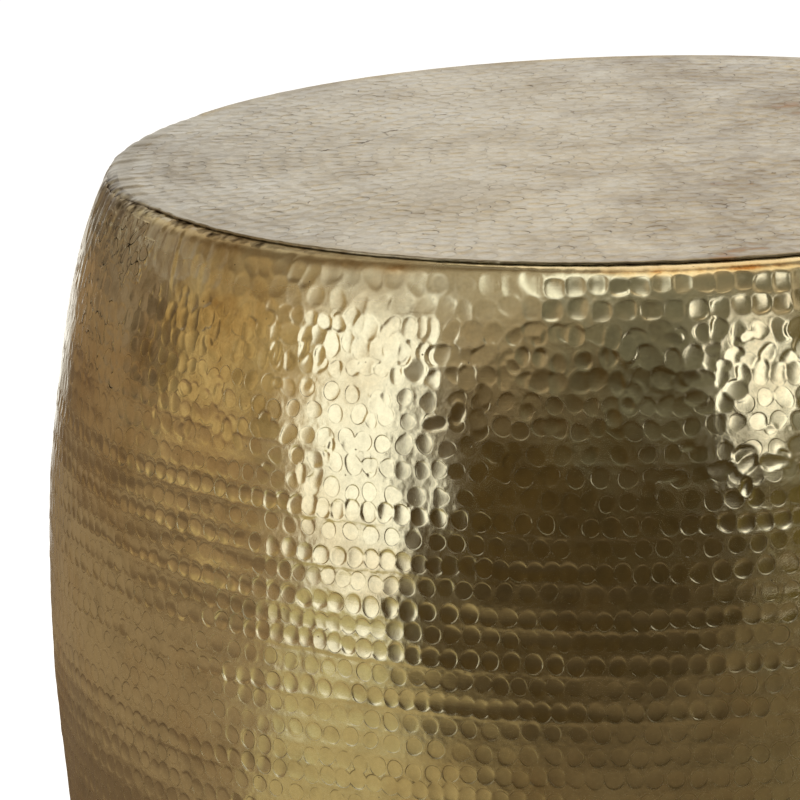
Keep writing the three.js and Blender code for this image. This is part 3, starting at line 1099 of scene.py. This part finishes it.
        # The face with its marks, and the coarser inner face, from the foot up
        nets = []
        inner = np.arange(1.4, length, 2.8)[::-1]
        for net_turn, net_rows, depth, low, high in (
            (turn, rows, 0.0, 0.34, 0.99),
            (turn[:: 3 if detail == 1.0 else 2], inner, self.sheet, 0.01, 0.27),
        ):
            shape = [np.interp(net_rows, at, values) for values in (*points.T, *out.T)]
            eased = between(net_rows, 0.0, 3.0, length, 6.0)[:, None]
            lift = self.lay(work, work.height, net_turn, net_rows) * eased - depth
            nets.append((self.spin(net_turn, shape, lift), self.flat(net_turn, net_rows / length, low, high)))
        numbers = maker.put(*nets[0])
        maker.net(numbers)
        hem, spread = self.hem()
        hem_numbers = maker.put(self.spin(turn, hem, np.zeros((1, len(turn)))), self.flat(turn, spread, 0.28, 0.33))
        maker.net(np.concatenate([numbers[-1:], hem_numbers]))
        maker.net(maker.put(*nets[1]))
        wall = maker.make("hammered_wall")
        self.rims_and_joint_shade(wall.data, work, turn, rows)
        self.shade(wall.data)
        wall.data.materials.append(BRASS_WALL.material())
        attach(wall, "root")
        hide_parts("barrel_shell")
        LOG.info("wall: %d marks, %d faces", work.count, len(wall.data.polygons))
        return wall

    def rims_and_joint_shade(self, mesh: bpy.types.Mesh, work: HammerMap, turn: np.ndarray, rows: np.ndarray) -> None:
        """Stores the rims of the marks, and the dark joint line with the top and the painted shadow and soiling below
        it, which cover them.

        Args:
            mesh: The wall's mesh.
            work: The sheet.
            turn: Azimuths of the face's columns, in radians.
            rows: Distances of its rows from the flange, in mm.
        """
        ragged = Swell(35, (5.0, 26.0), 20, JOINT_MM).ring(turn)[None, :]
        dirty_and_shaded, joint = joint_dirt_and_shade(turn)[None, :], 3.9 + 6.2 * gathers(turn)[0][None, :]
        down = rows[:, None]
        dark_joint_line = smooth((joint + (0.3 + 0.7 * ragged) * dirty_and_shaded - down) / 0.8)
        # Painted shadow of the top's edge, with some soiling, in a soft band below the joint, most on the front left
        shadow = 0.8 * np.clip(1.8 * dirty_and_shaded - 0.6, 0, 1) * np.exp(-(((down - joint - 1.5) / 3.8) ** 2))
        shadow = np.maximum(dark_joint_line, shadow * (1 + 0.35 * ragged))
        # The dark joint line and the painted shadow darken the wall through the finish's rim darkening
        carry(mesh, "past_rim", self.lay(work, work.past, turn, rows) * (1 - smooth(2 * shadow)))
        carry(mesh, "crisp", self.lay(work, work.crisp, turn, rows) * (1 - shadow) + shadow * 3.0 * dirty_and_shaded)

    def spin(self, turn: np.ndarray, shape: list[np.ndarray], lift: np.ndarray) -> np.ndarray:
        """Turns the outline round the table's axis.

        Args:
            turn: Azimuths, in radians.
            shape: Radius, height and the two parts of the outward vector, by row, in mm.
            lift: Height of the sheet above its outline, by row and column, in mm.

        Returns:
            Points in metres.
        """
        radius = shape[0][:, None] + lift * shape[2][:, None]
        level = shape[1][:, None] + lift * shape[3][:, None]
        return turned(radius, turn, level) * MM

    def flat(self, turn: np.ndarray, share: np.ndarray, low: float, high: float) -> np.ndarray:
        """Lays places out on the flat map, between two levels of it.

        Args:
            turn: Azimuths of the columns, in radians.
            share: How far down each row lies, from 0 to 1.
            low: Level of the last row on the map.
            high: Level of the first row on the map.

        Returns:
            Map values, by row and column.
        """
        across = (turn - turn[0]) / (2 * math.pi)
        up = high + (low - high) * share
        return np.stack(np.broadcast_arrays(across[None, :], up[:, None]), axis=-1)

    def hem(self) -> tuple[list[np.ndarray], np.ndarray]:
        """The hem's roll, round the wire and back on its inner side.

        Returns:
            The rows' shape as spin() takes it, and how far along each lies, from 0 to 1.
        """
        middle = np.array(self.hem_centre)
        start = math.atan2(self.foot_height - middle[1], self.foot_radius - middle[0])
        angle = np.linspace(start, start - math.radians(self.hem_turn), 17)[1:]
        rolled = np.stack([np.cos(angle), np.sin(angle)], axis=1)
        outer, inner = middle + self.hem_radius * rolled, middle + (self.hem_radius - self.sheet) * rolled[::-1]
        path = np.concatenate([outer, inner])
        return [path[:, 0], path[:, 1], np.zeros(len(path)), np.zeros(len(path))], np.linspace(0, 1, len(path))

    def shade(self, mesh: bpy.types.Mesh) -> None:
        """Stores where the wall is dull, where its lacquer has gone brown or worn off, and the painted shadow under the
        top's edge.

        Args:
            mesh: The wall's mesh.
        """
        co = spots(mesh)
        azimuth = np.degrees(np.arctan2(co[:, 1], co[:, 0])) % 360
        below = TABLE_MM - co[:, 2]
        dull = np.interp(below, [0, 6, 18, 34, 130, 180, 440], [0.7, 0.5, 0.28, 0.05, 0.05, 0.2, 0.45])
        shiny = between(azimuth, 246.0, 10.0, 335.0, 20.0) * smooth((60.0 - below) / 20.0)
        stain = np.zeros(len(co))
        # Browned lacquer, in patches, and painted shadow under the top's edge on the front left; less than 0 where it
        # was wiped pale
        for middle, width, level, height, strength in (
            (219.0, 14.0, 50.0, 50.0, 0.45),
            (198.0, 10.0, 90.0, 80.0, 0.20),
            (232.0, 10.0, 30.0, 30.0, 0.35),
            (262.0, 10.0, 8.0, 6.0, -0.60),
            (278.0, 14.0, 3.2, 1.1, 1.20),
            (244.0, 6.0, 4.0, 2.4, 0.80),
            # Under the joint on the front left: painted shadow of the top's edge, with brown staining
            (208.0, 22.0, 3.0, 6.0, 0.50),
            (120.0, 30.0, 90.0, 90.0, 0.40),
            (340.0, 26.0, 120.0, 110.0, 0.40),
            (25.0, 22.0, 60.0, 60.0, 0.35),
        ):
            far = ((azimuth - middle + 180) % 360 - 180) / width
            stain += strength * np.exp(-(far**2) - ((below - level) / height) ** 2)
        carry(mesh, "dull", dull * (1 - 0.8 * shiny))
        carry(mesh, "stain", stain)
        carry(mesh, "worn", gathers(np.radians(azimuth))[0] * (1 - smooth((below - 3.0) / 10.0)))


@dataclass
class RoundTop:
    """The flat round top: a disc of brass sheet hammered in rings, which lies on the wall's flange. Sizes are in mm."""

    wall: BarrelWall
    level: float = TABLE_MM
    flat_radius: float = 235.7
    sheet: float = 1.2
    ring_pitch: float = 8.6
    cell: float = 1.0
    border: float = 8.0
    wave_round: float = 600.0
    edge_round: float = 1481.0
    map_width: float = 520.0
    seed: int = 23
    # The edge's reach, fall, and soiling with painted shade, from the flat to its lower corner
    rim: tuple[tuple[float, ...], ...] = (
        (0.0, 0.36, 0.46, 0.50, 0.45, 0.2),
        (0.0, 0.14, 0.34, 0.72, 1.08, 1.18),
        (0.0, 0.0, 0.1, 0.8, 1.6, 1.0),
    )
    # Where a scratch crosses the top, in its own mm
    scratch: tuple[tuple[float, float], ...] = (
        *((-146, 2), (-136, 13), (-126, 21), (-119, 34), (-112, 34), (-117, 47)),
        *((-106, 58), (-101, 65), (-93, 67), (-87, 83), (-77, 90)),
    )

    def hammer(self) -> HammerMap:
        """Hammers the top ring after ring, from the middle out.

        Returns:
            The laid-out sheet with its marks and its scratch.
        """
        rng = np.random.default_rng(self.seed)
        middle = self.flat_radius + self.border
        work = HammerMap(2 * middle, 2 * middle, NET_MM, False)
        turn = np.arange(work.columns) * work.cell_x * 2 * math.pi / self.wave_round
        place = np.arange(work.rows) * work.cell
        for size, seed, lengths, count in ((0.22, 7, (90.0, 190.0), 9), (0.05, 8, (26.0, 50.0), 16)):
            work.height += size * Swell(seed, lengths, count, self.wave_round).over(turn, place)
        base = work.height.copy()
        work.height[:] = 0
        radius = 2.0
        while radius < self.flat_radius - 4.5:
            turn = rng.uniform(0, 6)
            end = turn + 2 * math.pi - 6.0 / max(radius, 6.0)
            while turn < end:
                reach = radius + rng.normal(0, RINGS.wander)
                # Struck harder on the right
                force = 1.0 + 0.5 * float(smooth(reach * math.cos(turn) / 120.0))
                tilt = rng.normal(0, RINGS.tilt, 2)
                work.strike(
                    middle + reach * math.cos(turn),
                    middle + reach * math.sin(turn),
                    rng.uniform(*RINGS.radius),
                    rng.uniform(*RINGS.step) * force,
                    rng.uniform(*RINGS.bowl) * force,
                    (float(tilt[0]), float(tilt[1])),
                    rng.uniform(RINGS.edge, 1.4),
                    RINGS.lip,
                    1.0,
                    rng.uniform(0.0, RINGS.rim) ** 1.6,
                    rng.uniform(*RINGS.tall),
                    RINGS.corner,
                    (rng.normal(0, 0.05), rng.normal(0, 0.06)),
                )
                turn += rng.uniform(*RINGS.pitch) / max(radius, 4.0)
            radius += self.ring_pitch * rng.uniform(0.94, 1.06)
        work.height += base
        for (x0, y0), (x1, y1) in zip(self.scratch, self.scratch[1:]):
            for share in np.arange(0, 1, 0.35 / math.hypot(x1 - x0, y1 - y0)):
                x, y = x0 + share * (x1 - x0) + rng.normal(0, 0.25), y0 + share * (y1 - y0) + rng.normal(0, 0.25)
                row, column = round((y + middle) / work.cell), round((x + middle) / work.cell_x)
                cells = (slice(row - 1, row + 1), slice(column - 1, column + 1))
                work.past[cells], work.crisp[cells] = 0.0, 1.3
        return work

    def build(self) -> bpy.types.Object:
        """Makes the top's mesh and dresses it.

        Returns:
            The top.
        """
        work = self.hammer()
        middle = self.flat_radius + self.border
        cell = self.cell * 1.0
        maker = MeshMaker()
        # Rings with twice as many places each time the radius doubles
        columns, last, previous = 4 * math.ceil(2 * math.pi * self.flat_radius / cell / 64), None, 0.0
        past: list[np.ndarray] = []
        crisp: list[np.ndarray] = []
        for edge in (self.flat_radius / 2**k for k in (4, 3, 2, 1, 0)):
            radii = np.linspace(previous, edge, max(2, round((edge - previous) / cell)) + 1)
            radii = radii[1:] if last is not None else np.maximum(radii, 0.4)
            turn = np.linspace(0, 2 * math.pi, columns, endpoint=False)
            x, y = radii[:, None] * np.cos(turn), radii[:, None] * np.sin(turn)
            held = smooth((self.flat_radius - radii) / 3.0)[:, None]
            lift = np.minimum(work.read(work.height, x + middle, y + middle), 0.3)
            drawn, folds = (values[None, :] for values in gathers(turn))
            outer = smooth((radii - 219.0) / 15.0)[:, None]
            height = self.level - 0.3 + lift * held + 0.25 * (1 - held) * (1 - drawn)
            height = height + outer * np.minimum(folds, 0.3) - 0.45 * drawn * smooth((radii - 229.0) / 9.0)[:, None]
            past.append(work.read(work.past, x + middle, y + middle).ravel())
            crisp.append((work.read(work.crisp, x + middle, y + middle) * held).ravel())
            net = maker.put(np.stack([x, y, height], axis=-1) * MM, 0.5 + np.stack([x, y], axis=-1) / self.map_width)
            if last is not None:
                self.join(maker, last, net[0])
            else:
                maker.faces.append(net[0][None, :])
            maker.faces.append(self.quads(net))
            last, previous, columns = net[-1], edge, columns * 2
        turn = np.linspace(0, 2 * math.pi, columns // 2, endpoint=False)
        run = np.linspace(0.1, 1.0, 10)
        rows = np.array([np.interp(run, [0, 0.3, 0.5, 0.7, 0.9, 1.0], k) for k in self.rim]).T
        # The lower face, which nobody sees, runs in level to 66 mm from the middle
        rows = np.concatenate([rows, [[-170.0, self.sheet, 0.0]]])
        rim = maker.put(self.edge(turn, rows, height[-1]), self.edge_map(turn, rows))
        maker.faces.append(self.quads(np.concatenate([last[None, :], rim])))
        past.append(np.zeros(len(rows) * len(turn)))
        # Painted shade and soiling darken the edge, most on the front left
        crisp.append(((rows[:, 2:] + 0.9 * gathers(turn)[0][None, :]) * joint_dirt_and_shade(turn)[None, :]).ravel())
        top = maker.make("hammered_top")
        carry(top.data, "past_rim", np.concatenate(past))
        carry(top.data, "crisp", np.concatenate(crisp))
        self.shade(top.data)
        top.data.materials.append(BRASS_TOP.material())
        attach(top, "root")
        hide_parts("top_plate")
        LOG.info("top: %d marks, %d faces", work.count, len(top.data.polygons))
        return top

    def quads(self, net: np.ndarray) -> np.ndarray:
        """Four-sided faces of a net of rings that grow outwards, seen from above."""
        inner, outer = net[:-1], net[1:]
        return np.stack([inner, outer, np.roll(outer, -1, axis=1), np.roll(inner, -1, axis=1)], axis=-1).reshape(-1, 4)

    def join(self, maker: MeshMaker, inner: np.ndarray, outer: np.ndarray) -> None:
        """Joins a ring to one with twice as many places, by five-sided faces.

        Args:
            maker: What gathers the faces.
            inner: Numbers of the inner ring's places.
            outer: Numbers of the outer ring's places.
        """
        following = np.roll(inner, -1)
        start, halfway, end = outer[0::2], outer[1::2], np.roll(outer, -2)[0::2]
        maker.faces.append(np.stack([inner, start, halfway, end, following], axis=-1))

    def edge(self, turn: np.ndarray, rows: np.ndarray, start: np.ndarray) -> np.ndarray:
        """The edge, down and back under the disc, a little ragged as it was trimmed by eye.

        Where the sheets were drawn in, it lies down over the wall's rolled shoulder instead.

        Args:
            turn: Azimuths, in radians.
            rows: How far each row lies outside the flat and below it, and its dirt.
            start: Height of the face where the flat ends, in mm, by azimuth.

        Returns:
            Points in metres, by row and azimuth.
        """
        drawn, folds = gathers(turn)
        ragged = Swell(32, (3.5, 16.0), 18, self.edge_round).ring(turn)
        out, fall = rows[:, :1], rows[:, 1:2]
        near = (out > 0) * 1.0
        radius = self.flat_radius + out + near * 0.11 * ragged[None, :]
        level = np.where(near > 0, start[None, :] - fall, self.level - fall)
        share = np.linspace(0.05, 0.8, len(rows))[:, None] * (1 + 0.06 * ragged[None, :])
        above = np.linspace(0.7, 0.25, len(rows))[:, None] + np.clip(folds, -0.6, 0.6)[None, :]
        laid = self.wall.roll(share, above)
        radius = radius + near * drawn * (laid[..., 0] - radius)
        level = level + near * drawn * (laid[..., 1] - level)
        return turned(radius, turn, level) * MM

    def edge_map(self, turn: np.ndarray, rows: np.ndarray) -> np.ndarray:
        """Where the edge's places lie on the flat map."""
        reach = np.linspace(0.455, 0.495, len(rows))[:, None]
        return np.stack([0.5 + reach * np.cos(turn), 0.5 + reach * np.sin(turn)], axis=-1)

    def shade(self, mesh: bpy.types.Mesh) -> None:
        """Stores where the top is dull, and where it is browner and darker: more on the right and towards the edge.

        Args:
            mesh: The top's mesh.
        """
        co = spots(mesh)
        reach = np.hypot(co[:, 0], co[:, 1])
        carry(mesh, "dull", np.interp(reach, [0, 200, 236], [0.5, 0.5, 0.4]))
        carry(mesh, "stain", 0.52 * smooth((co[:, 0] + 60.0) / 110.0) + 0.15 * smooth((reach - 150.0) / 80.0))
        carry(mesh, "worn", np.zeros(len(co)))


@dataclass(frozen=True)
class Fixings:
    """The frame, board, wire, feet and screws, which stay as the CAD gives them and get their finishes."""

    edge_mm: float = 0.4

    def dress(self) -> None:
        """Gives each CAD piece its finish and eases its edges."""
        finishes = {
            "hem_wire": STEEL_WIRE,
            "board_ring": BLACK_IRON,
            "cross_strap": BLACK_IRON,
            "base_ring": BLACK_IRON,
            "top_board": FIBREBOARD,
            "foot_screw": ZINC,
            "board_screw": ZINC,
            "foot": RUBBER,
        }
        made = {finish.name: finish.material() for finish in finishes.values()}
        for name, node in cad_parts.items():
            start = next((s for s in finishes if name.startswith(s)), None)
            if start is None:
                continue
            for slot in node.material_slots:
                slot.material = made[finishes[start].name]
            ease = node.modifiers.new("eased_edges", "BEVEL")
            ease.width = self.edge_mm * MM
            ease.segments = 2
            ease.limit_method = "ANGLE"
            ease.angle_limit = math.radians(40)
            ease.harden_normals = False
            LOG.info("%s: %s", name, finishes[start].name)


@dataclass(frozen=True)
class Panel:
    """A curved cloth or softbox that stands round the table, out of the picture, and shows only in the metal; a cloth
    glows with painted light in place of the light falling on it.

    Args:
        name: Its name.
        azimuth: Where it starts and ends, in degrees.
        elevation: Its lower and upper edges, in degrees above the table's middle.
        shade: Its colour.
        feather: Width of its soft edges, at the start, end, foot and top, in degrees.
        distance: How far away it stands, in metres.
        level: How bright it is.
        folds: How much painted shade darkens its folds, from 0 to 1.
        lean: How far it leans to its end, in degrees for each degree that it rises.
    """

    name: str
    azimuth: tuple[float, float]
    elevation: tuple[float, float]
    shade: str
    feather: tuple[float, float, float, float]
    distance: float
    level: float = 1.0
    folds: float = 0.0
    lean: float = 0.0

    def points(self, turn: np.ndarray, rise: np.ndarray) -> np.ndarray:
        """The panel's places for the given azimuths and elevations."""
        level = 0.3 + self.distance * np.sin(rise)
        return turned(self.distance * np.cos(rise), turn, np.maximum(level, 0.003))

    def build(self) -> bpy.types.Object:
        """Makes the panel.

        Returns:
            The panel.
        """
        turns = np.radians(np.linspace(*self.azimuth, 33))
        rises = np.radians(np.linspace(*self.elevation, 17))
        turn, rise = np.meshgrid(turns, rises)
        turn = turn + self.lean * rise
        wide, high = self.azimuth[1] - self.azimuth[0], self.elevation[1] - self.elevation[0]
        soft = tuple(edge / size for edge, size in zip(self.feather, (wide, wide, high, high)))
        return glowing(self.name, self.points(turn, rise), self.shade, self.level, soft, self.folds)


@dataclass(frozen=True)
class FloorCloth(Panel):
    """A cloth on the floor, out of the picture, which shows only in the metal, glowing with painted light in place of
    the light falling on it.

    Its elevation is how far out it lies, in metres, and its distance is its height above the floor, in mm.
    """

    def points(self, turn: np.ndarray, rise: np.ndarray) -> np.ndarray:
        """The cloth's places for the given azimuths and distances."""
        return turned(np.degrees(rise), turn, self.distance * MM)


def glowing(
    name: str, net: np.ndarray, shade: str, level: float, feather: tuple[float, ...], folds: float
) -> bpy.types.Object:
    """Makes a sheet that glows evenly and fades out at its edges.

    Args:
        name: Its name.
        net: Its places, as rows and columns of points, in metres.
        shade: Its colour.
        level: How bright it is.
        feather: Share of its width over which it fades at its start and end, then of its height at its foot and top.
        folds: How much painted shade darkens its folds, from 0 to 1.

    Returns:
        The sheet, which only reflections show.
    """
    rows, columns = net.shape[:2]
    mesh = bpy.data.meshes.new(name)
    number = np.arange(rows * columns).reshape(rows, columns)
    faces = np.stack([number[:-1, :-1], number[:-1, 1:], number[1:, 1:], number[1:, :-1]], axis=-1).reshape(-1, 4)
    mesh.from_pydata(net.reshape(-1, 3).tolist(), [], faces.tolist())
    across, up = np.meshgrid(np.linspace(0, 1, columns), np.linspace(0, 1, rows))
    flat = np.stack([across, up], axis=-1).reshape(-1, 2)[faces.ravel()]
    mesh.uv_layers.new(name="spread").data.foreach_set("uv", flat.astype(np.float32).ravel())
    made = bpy.data.materials.new(name)
    node = blank(made)
    made.cycles.emission_sampling = "NONE"
    parts = node("SeparateXYZ", {}, {0: node("UVMap", {"uv_map": "spread"})}).outputs
    solid = None
    for side, start, share in zip((0, 0, 1, 1), (0.0, 1.0, 0.0, 1.0), feather):
        if share > 0:
            fade = node("MapRange", EASED | span(start, abs(start - share)), {"Value": parts[side]})
            solid = node("Math", TIMES, {0: fade, 1: solid}) if solid else fade
    clear = node("BsdfTransparent")
    glow = node("Emission", {"Color": linear(shade), "Strength": level})
    if folds > 0:
        # Painted shade in the upright folds of a hung cloth, 15 to 40 cm wide
        drop = node("VectorMath", TIMES | {1: (1.0, 1.0, 0.3)}, {0: node("TexCoord").outputs["Object"]})
        waves = node("TexNoise", {"Scale": 3.6, "Detail": 2.0, "Roughness": 0.6}, {"Vector": drop})
        lit = span(0.38, 0.62, level * (1 - folds), level * (1 + folds / 2))
        made.node_tree.links.new(node("MapRange", lit, {"Value": waves}).outputs[0], glow.inputs["Strength"])
    both = node("MixShader", {0: 1.0}, {1: clear, 2: glow} | ({0: solid} if solid else {}))
    node("OutputMaterial", {}, {"Surface": both})
    mesh.materials.append(made)
    sheet = put(name, mesh)
    for way in ("camera", "diffuse", "shadow", "volume_scatter", "transmission"):
        setattr(sheet, "visible_" + way, False)
    return sheet


@dataclass(frozen=True)
class Studio:
    """The pale floor, the soft light, what the brass reflects, and the camera at the photograph's angle."""

    floor_colour: str = "#e6e4e0"
    light_colour: str = "#fbf9f6"
    floor_size: float = 40.0
    lamp_place: tuple[float, float, float] = (-0.5, -0.4, 2.6)
    camera_place: tuple[float, float, float] = (0.0, -1.687, 0.780)
    lens: float = 166.5
    yaw: float = 3.771
    pitch: float = 15.227
    roll: float = -2.157
    panels: tuple[Panel, ...] = (
        Panel("front_drape", (222, 270), (-7.1, 29), "#4b3c23", (0, 14, 0, 22), 2.5, folds=0.2),
        Panel("middle_drape", (240, 298), (-7.1, 24), "#443823", (0, 12, 0, 16), 2.55, folds=0.2),
        Panel("upper_drape", (250, 304), (6, 60), "#74705f", (10, 0, 0, 28), 2.65, folds=0.2),
        Panel("left_bench", (118, 214), (-7.1, 2), "#9a8162", (12, 3, 0, 4.5), 2.5, folds=0.2),
        Panel("left_drape", (164, 216), (-7.1, 33), "#bda578", (14, 0, 0, 15), 2.6, folds=0.4),
        Panel("dark_left_drape", (116, 143), (-7.1, 20), "#4a3f38", (8, 14, 0, 12), 2.65, folds=0.2),
        Panel("far_left_drape", (115, 182), (-7.1, 26), "#83725f", (12, 0, 0, 14), 2.7, folds=0.45),
        Panel("left_sky_softbox", (112, 154), (12, 64), "#d3c7b0", (8, 14, 11, 10), 2.78),
        Panel("left_softbox", (209.5, 228), (-7.2, 40), "#fffefa", (1.2, 1.2, 0, 12), 2.3, level=1.26),
        Panel("right_softbox", (283.2, 292.8), (6.5, 35), "#fffcf6", (1, 1, 4, 8), 2.3, level=1.6, lean=0.3),
        Panel("high_softbox", (239, 272), (34, 86), "#fbfbf4", (7, 11, 13, 10), 2.4, level=1.35),
        Panel("rim_softbox", (250, 332), (50, 89.9), "#ffeccb", (8, 10, 10, 0), 2.45, level=1.4),
        Panel("back_softbox", (46, 103), (21, 89.9), "#ffedd2", (10, 5, 9, 0), 2.35, level=1.2),
        Panel("left_ceiling_drape", (100, 122), (24, 88), "#64533b", (3.5, 6, 8, 6), 2.74),
        Panel("left_high_drape", (138, 214), (14, 88), "#6b5a42", (10, 12, 12, 6), 2.8),
        Panel("right_drape", (284, 318), (-7.1, 36), "#605431", (0, 9, 0, 12), 2.75),
        Panel("right_sky_softbox", (306, 344), (3, 50), "#bdb29c", (6, 4, 5, 12), 2.78),
        Panel("right_back_drape", (306, 342), (-7.1, 16), "#6b5d45", (0, 3, 0, 8), 2.85),
        Panel("side_softbox", (338, 362), (-5, 34), "#fffaf0", (2, 2, 0, 7), 2.4, level=1.1),
        Panel("side_drape", (358, 422), (-7.1, 38), "#6b5c47", (3, 10, 0, 12), 2.6),
        Panel("front_ceiling_cloth", (180, 360), (6, 89.9), "#a4957c", (10, 10, 3, 0), 2.9),
        Panel("ceiling_cloth", (0, 360), (24, 89.9), "#8c8373", (0, 0, 14, 0), 3.1),
    )
    cloths: tuple[FloorCloth, ...] = (
        FloorCloth("front_floor_cloth", (196, 330), (0.26, 2.6), "#433828", (10, 10, 0, 0), 1),
        FloorCloth("near_floor_cloth", (196, 330), (0.26, 1.9), "#6f5f47", (10, 10, 0, 1.2), 1.5),
        FloorCloth("right_floor_cloth", (278, 340), (0.26, 2.6), "#6f6148", (14, 10, 0, 0), 1.8),
        FloorCloth("left_floor_cloth", (116, 210), (0.26, 2.6), "#6e5b48", (12, 6, 0, 0), 2),
        FloorCloth("left_bright_floor", (122, 212), (0.62, 1.8), "#947f64", (14, 4, 0.2, 0.4), 2.5),
        FloorCloth("lit_floor", (205, 233), (0.5, 2.6), "#c4ba8c", (5, 7, 0.6, 0), 3),
        FloorCloth("lit_near_floor", (205, 258), (0.36, 1.5), "#b8a67c", (5, 30, 0.3, 0.6), 3.4),
        FloorCloth("side_floor_cloth", (322, 420), (0.26, 2.6), "#756955", (8, 14, 0, 0), 1.2),
    )

    def build(self) -> None:
        """Sets up the floor, the panels, the light and the camera."""
        stage = [self.floor(), *(panel.build() for panel in (*self.panels, *self.cloths))]
        self.world()
        self.lamp()
        self.camera()
        bpy.context.scene.view_settings.view_transform = "Standard"
        LOG.info("studio: %d panels and cloths", len(stage) - 1)

    def floor(self) -> bpy.types.Object:
        """Makes a pale paper floor that stays white in the picture and keeps the table's shadow.

        Returns:
            The floor.
        """
        half = self.floor_size / 2
        mesh = bpy.data.meshes.new("floor")
        mesh.from_pydata([(-half, -half, 0), (half, -half, 0), (half, half, 0), (-half, half, 0)], [], [(0, 1, 2, 3)])
        made = bpy.data.materials.new("pale_paper_floor")
        node = blank(made)
        made.cycles.emission_sampling = "NONE"
        strength = node("Math", TIMES | {1: 0.5}, {0: seen(node)})
        paper = node("BsdfDiffuse", {"Color": linear(self.floor_colour)})
        glow = node("Emission", {"Color": linear("#ffffff")}, {"Strength": strength})
        node("OutputMaterial", {}, {"Surface": node("AddShader", {}, {0: paper, 1: glow})})
        mesh.materials.append(made)
        return put("floor", mesh)

    def world(self) -> None:
        """Even pale light all round, white where the camera or the metal sees it."""
        world = bpy.data.worlds.new("studio")
        bpy.context.scene.world = world
        node = blank(world)
        world.cycles.sampling_method = "NONE"
        dim = node("Background", {"Color": linear(self.light_colour), "Strength": 0.7})
        white = node("Background", {"Color": linear("#ffffff"), "Strength": 1.0})
        node("OutputWorld", {}, {"Surface": node("MixShader", {}, {0: seen(node), 1: dim, 2: white})})

    def lamp(self) -> None:
        """One wide soft lamp overhead, which gives the floor its shadow and doesn't show in the metal."""
        data = bpy.data.lights.new("overhead_lamp", "AREA")
        data.shape = "DISK"
        data.size = 2.2
        data.energy = 32.0
        lamp = put("overhead_lamp", data)
        lamp.location = Vector(self.lamp_place)
        lamp.rotation_euler = (-Vector(self.lamp_place)).to_track_quat("-Z", "Y").to_euler()
        lamp.visible_camera = False
        lamp.visible_glossy = False

    def camera(self) -> None:
        """The camera, fitted to the ellipse of the top and the wall's outline in the photograph."""
        yaw, pitch, roll = (math.radians(a) for a in (self.yaw, self.pitch, self.roll))
        ahead = Vector((-math.sin(yaw) * math.cos(pitch), math.cos(yaw) * math.cos(pitch), -math.sin(pitch)))
        right = Vector((math.cos(yaw), math.sin(yaw), 0))
        up = right.cross(ahead)
        across = right * math.cos(roll) + up * math.sin(roll)
        upright = -right * math.sin(roll) + up * math.cos(roll)
        data = bpy.data.cameras.new("photo_camera")
        data.lens, data.sensor_width = self.lens, 36.0
        data.dof.use_dof = False
        data.clip_end = 100
        camera = put("photo_camera", data)
        turned = Matrix((across, upright, -ahead)).transposed()
        camera.matrix_world = Matrix.Translation(Vector(self.camera_place)) @ turned.to_4x4()
        bpy.context.scene.camera = camera


def main() -> None:
    """Builds the table's pieces and its studio."""
    logging.basicConfig(level=logging.INFO, format="%(message)s")
    BarrelWall().build()
    RoundTop(BarrelWall()).build()
    Fixings().dress()
    Studio().build()


if __name__ == "__main__":
    main()
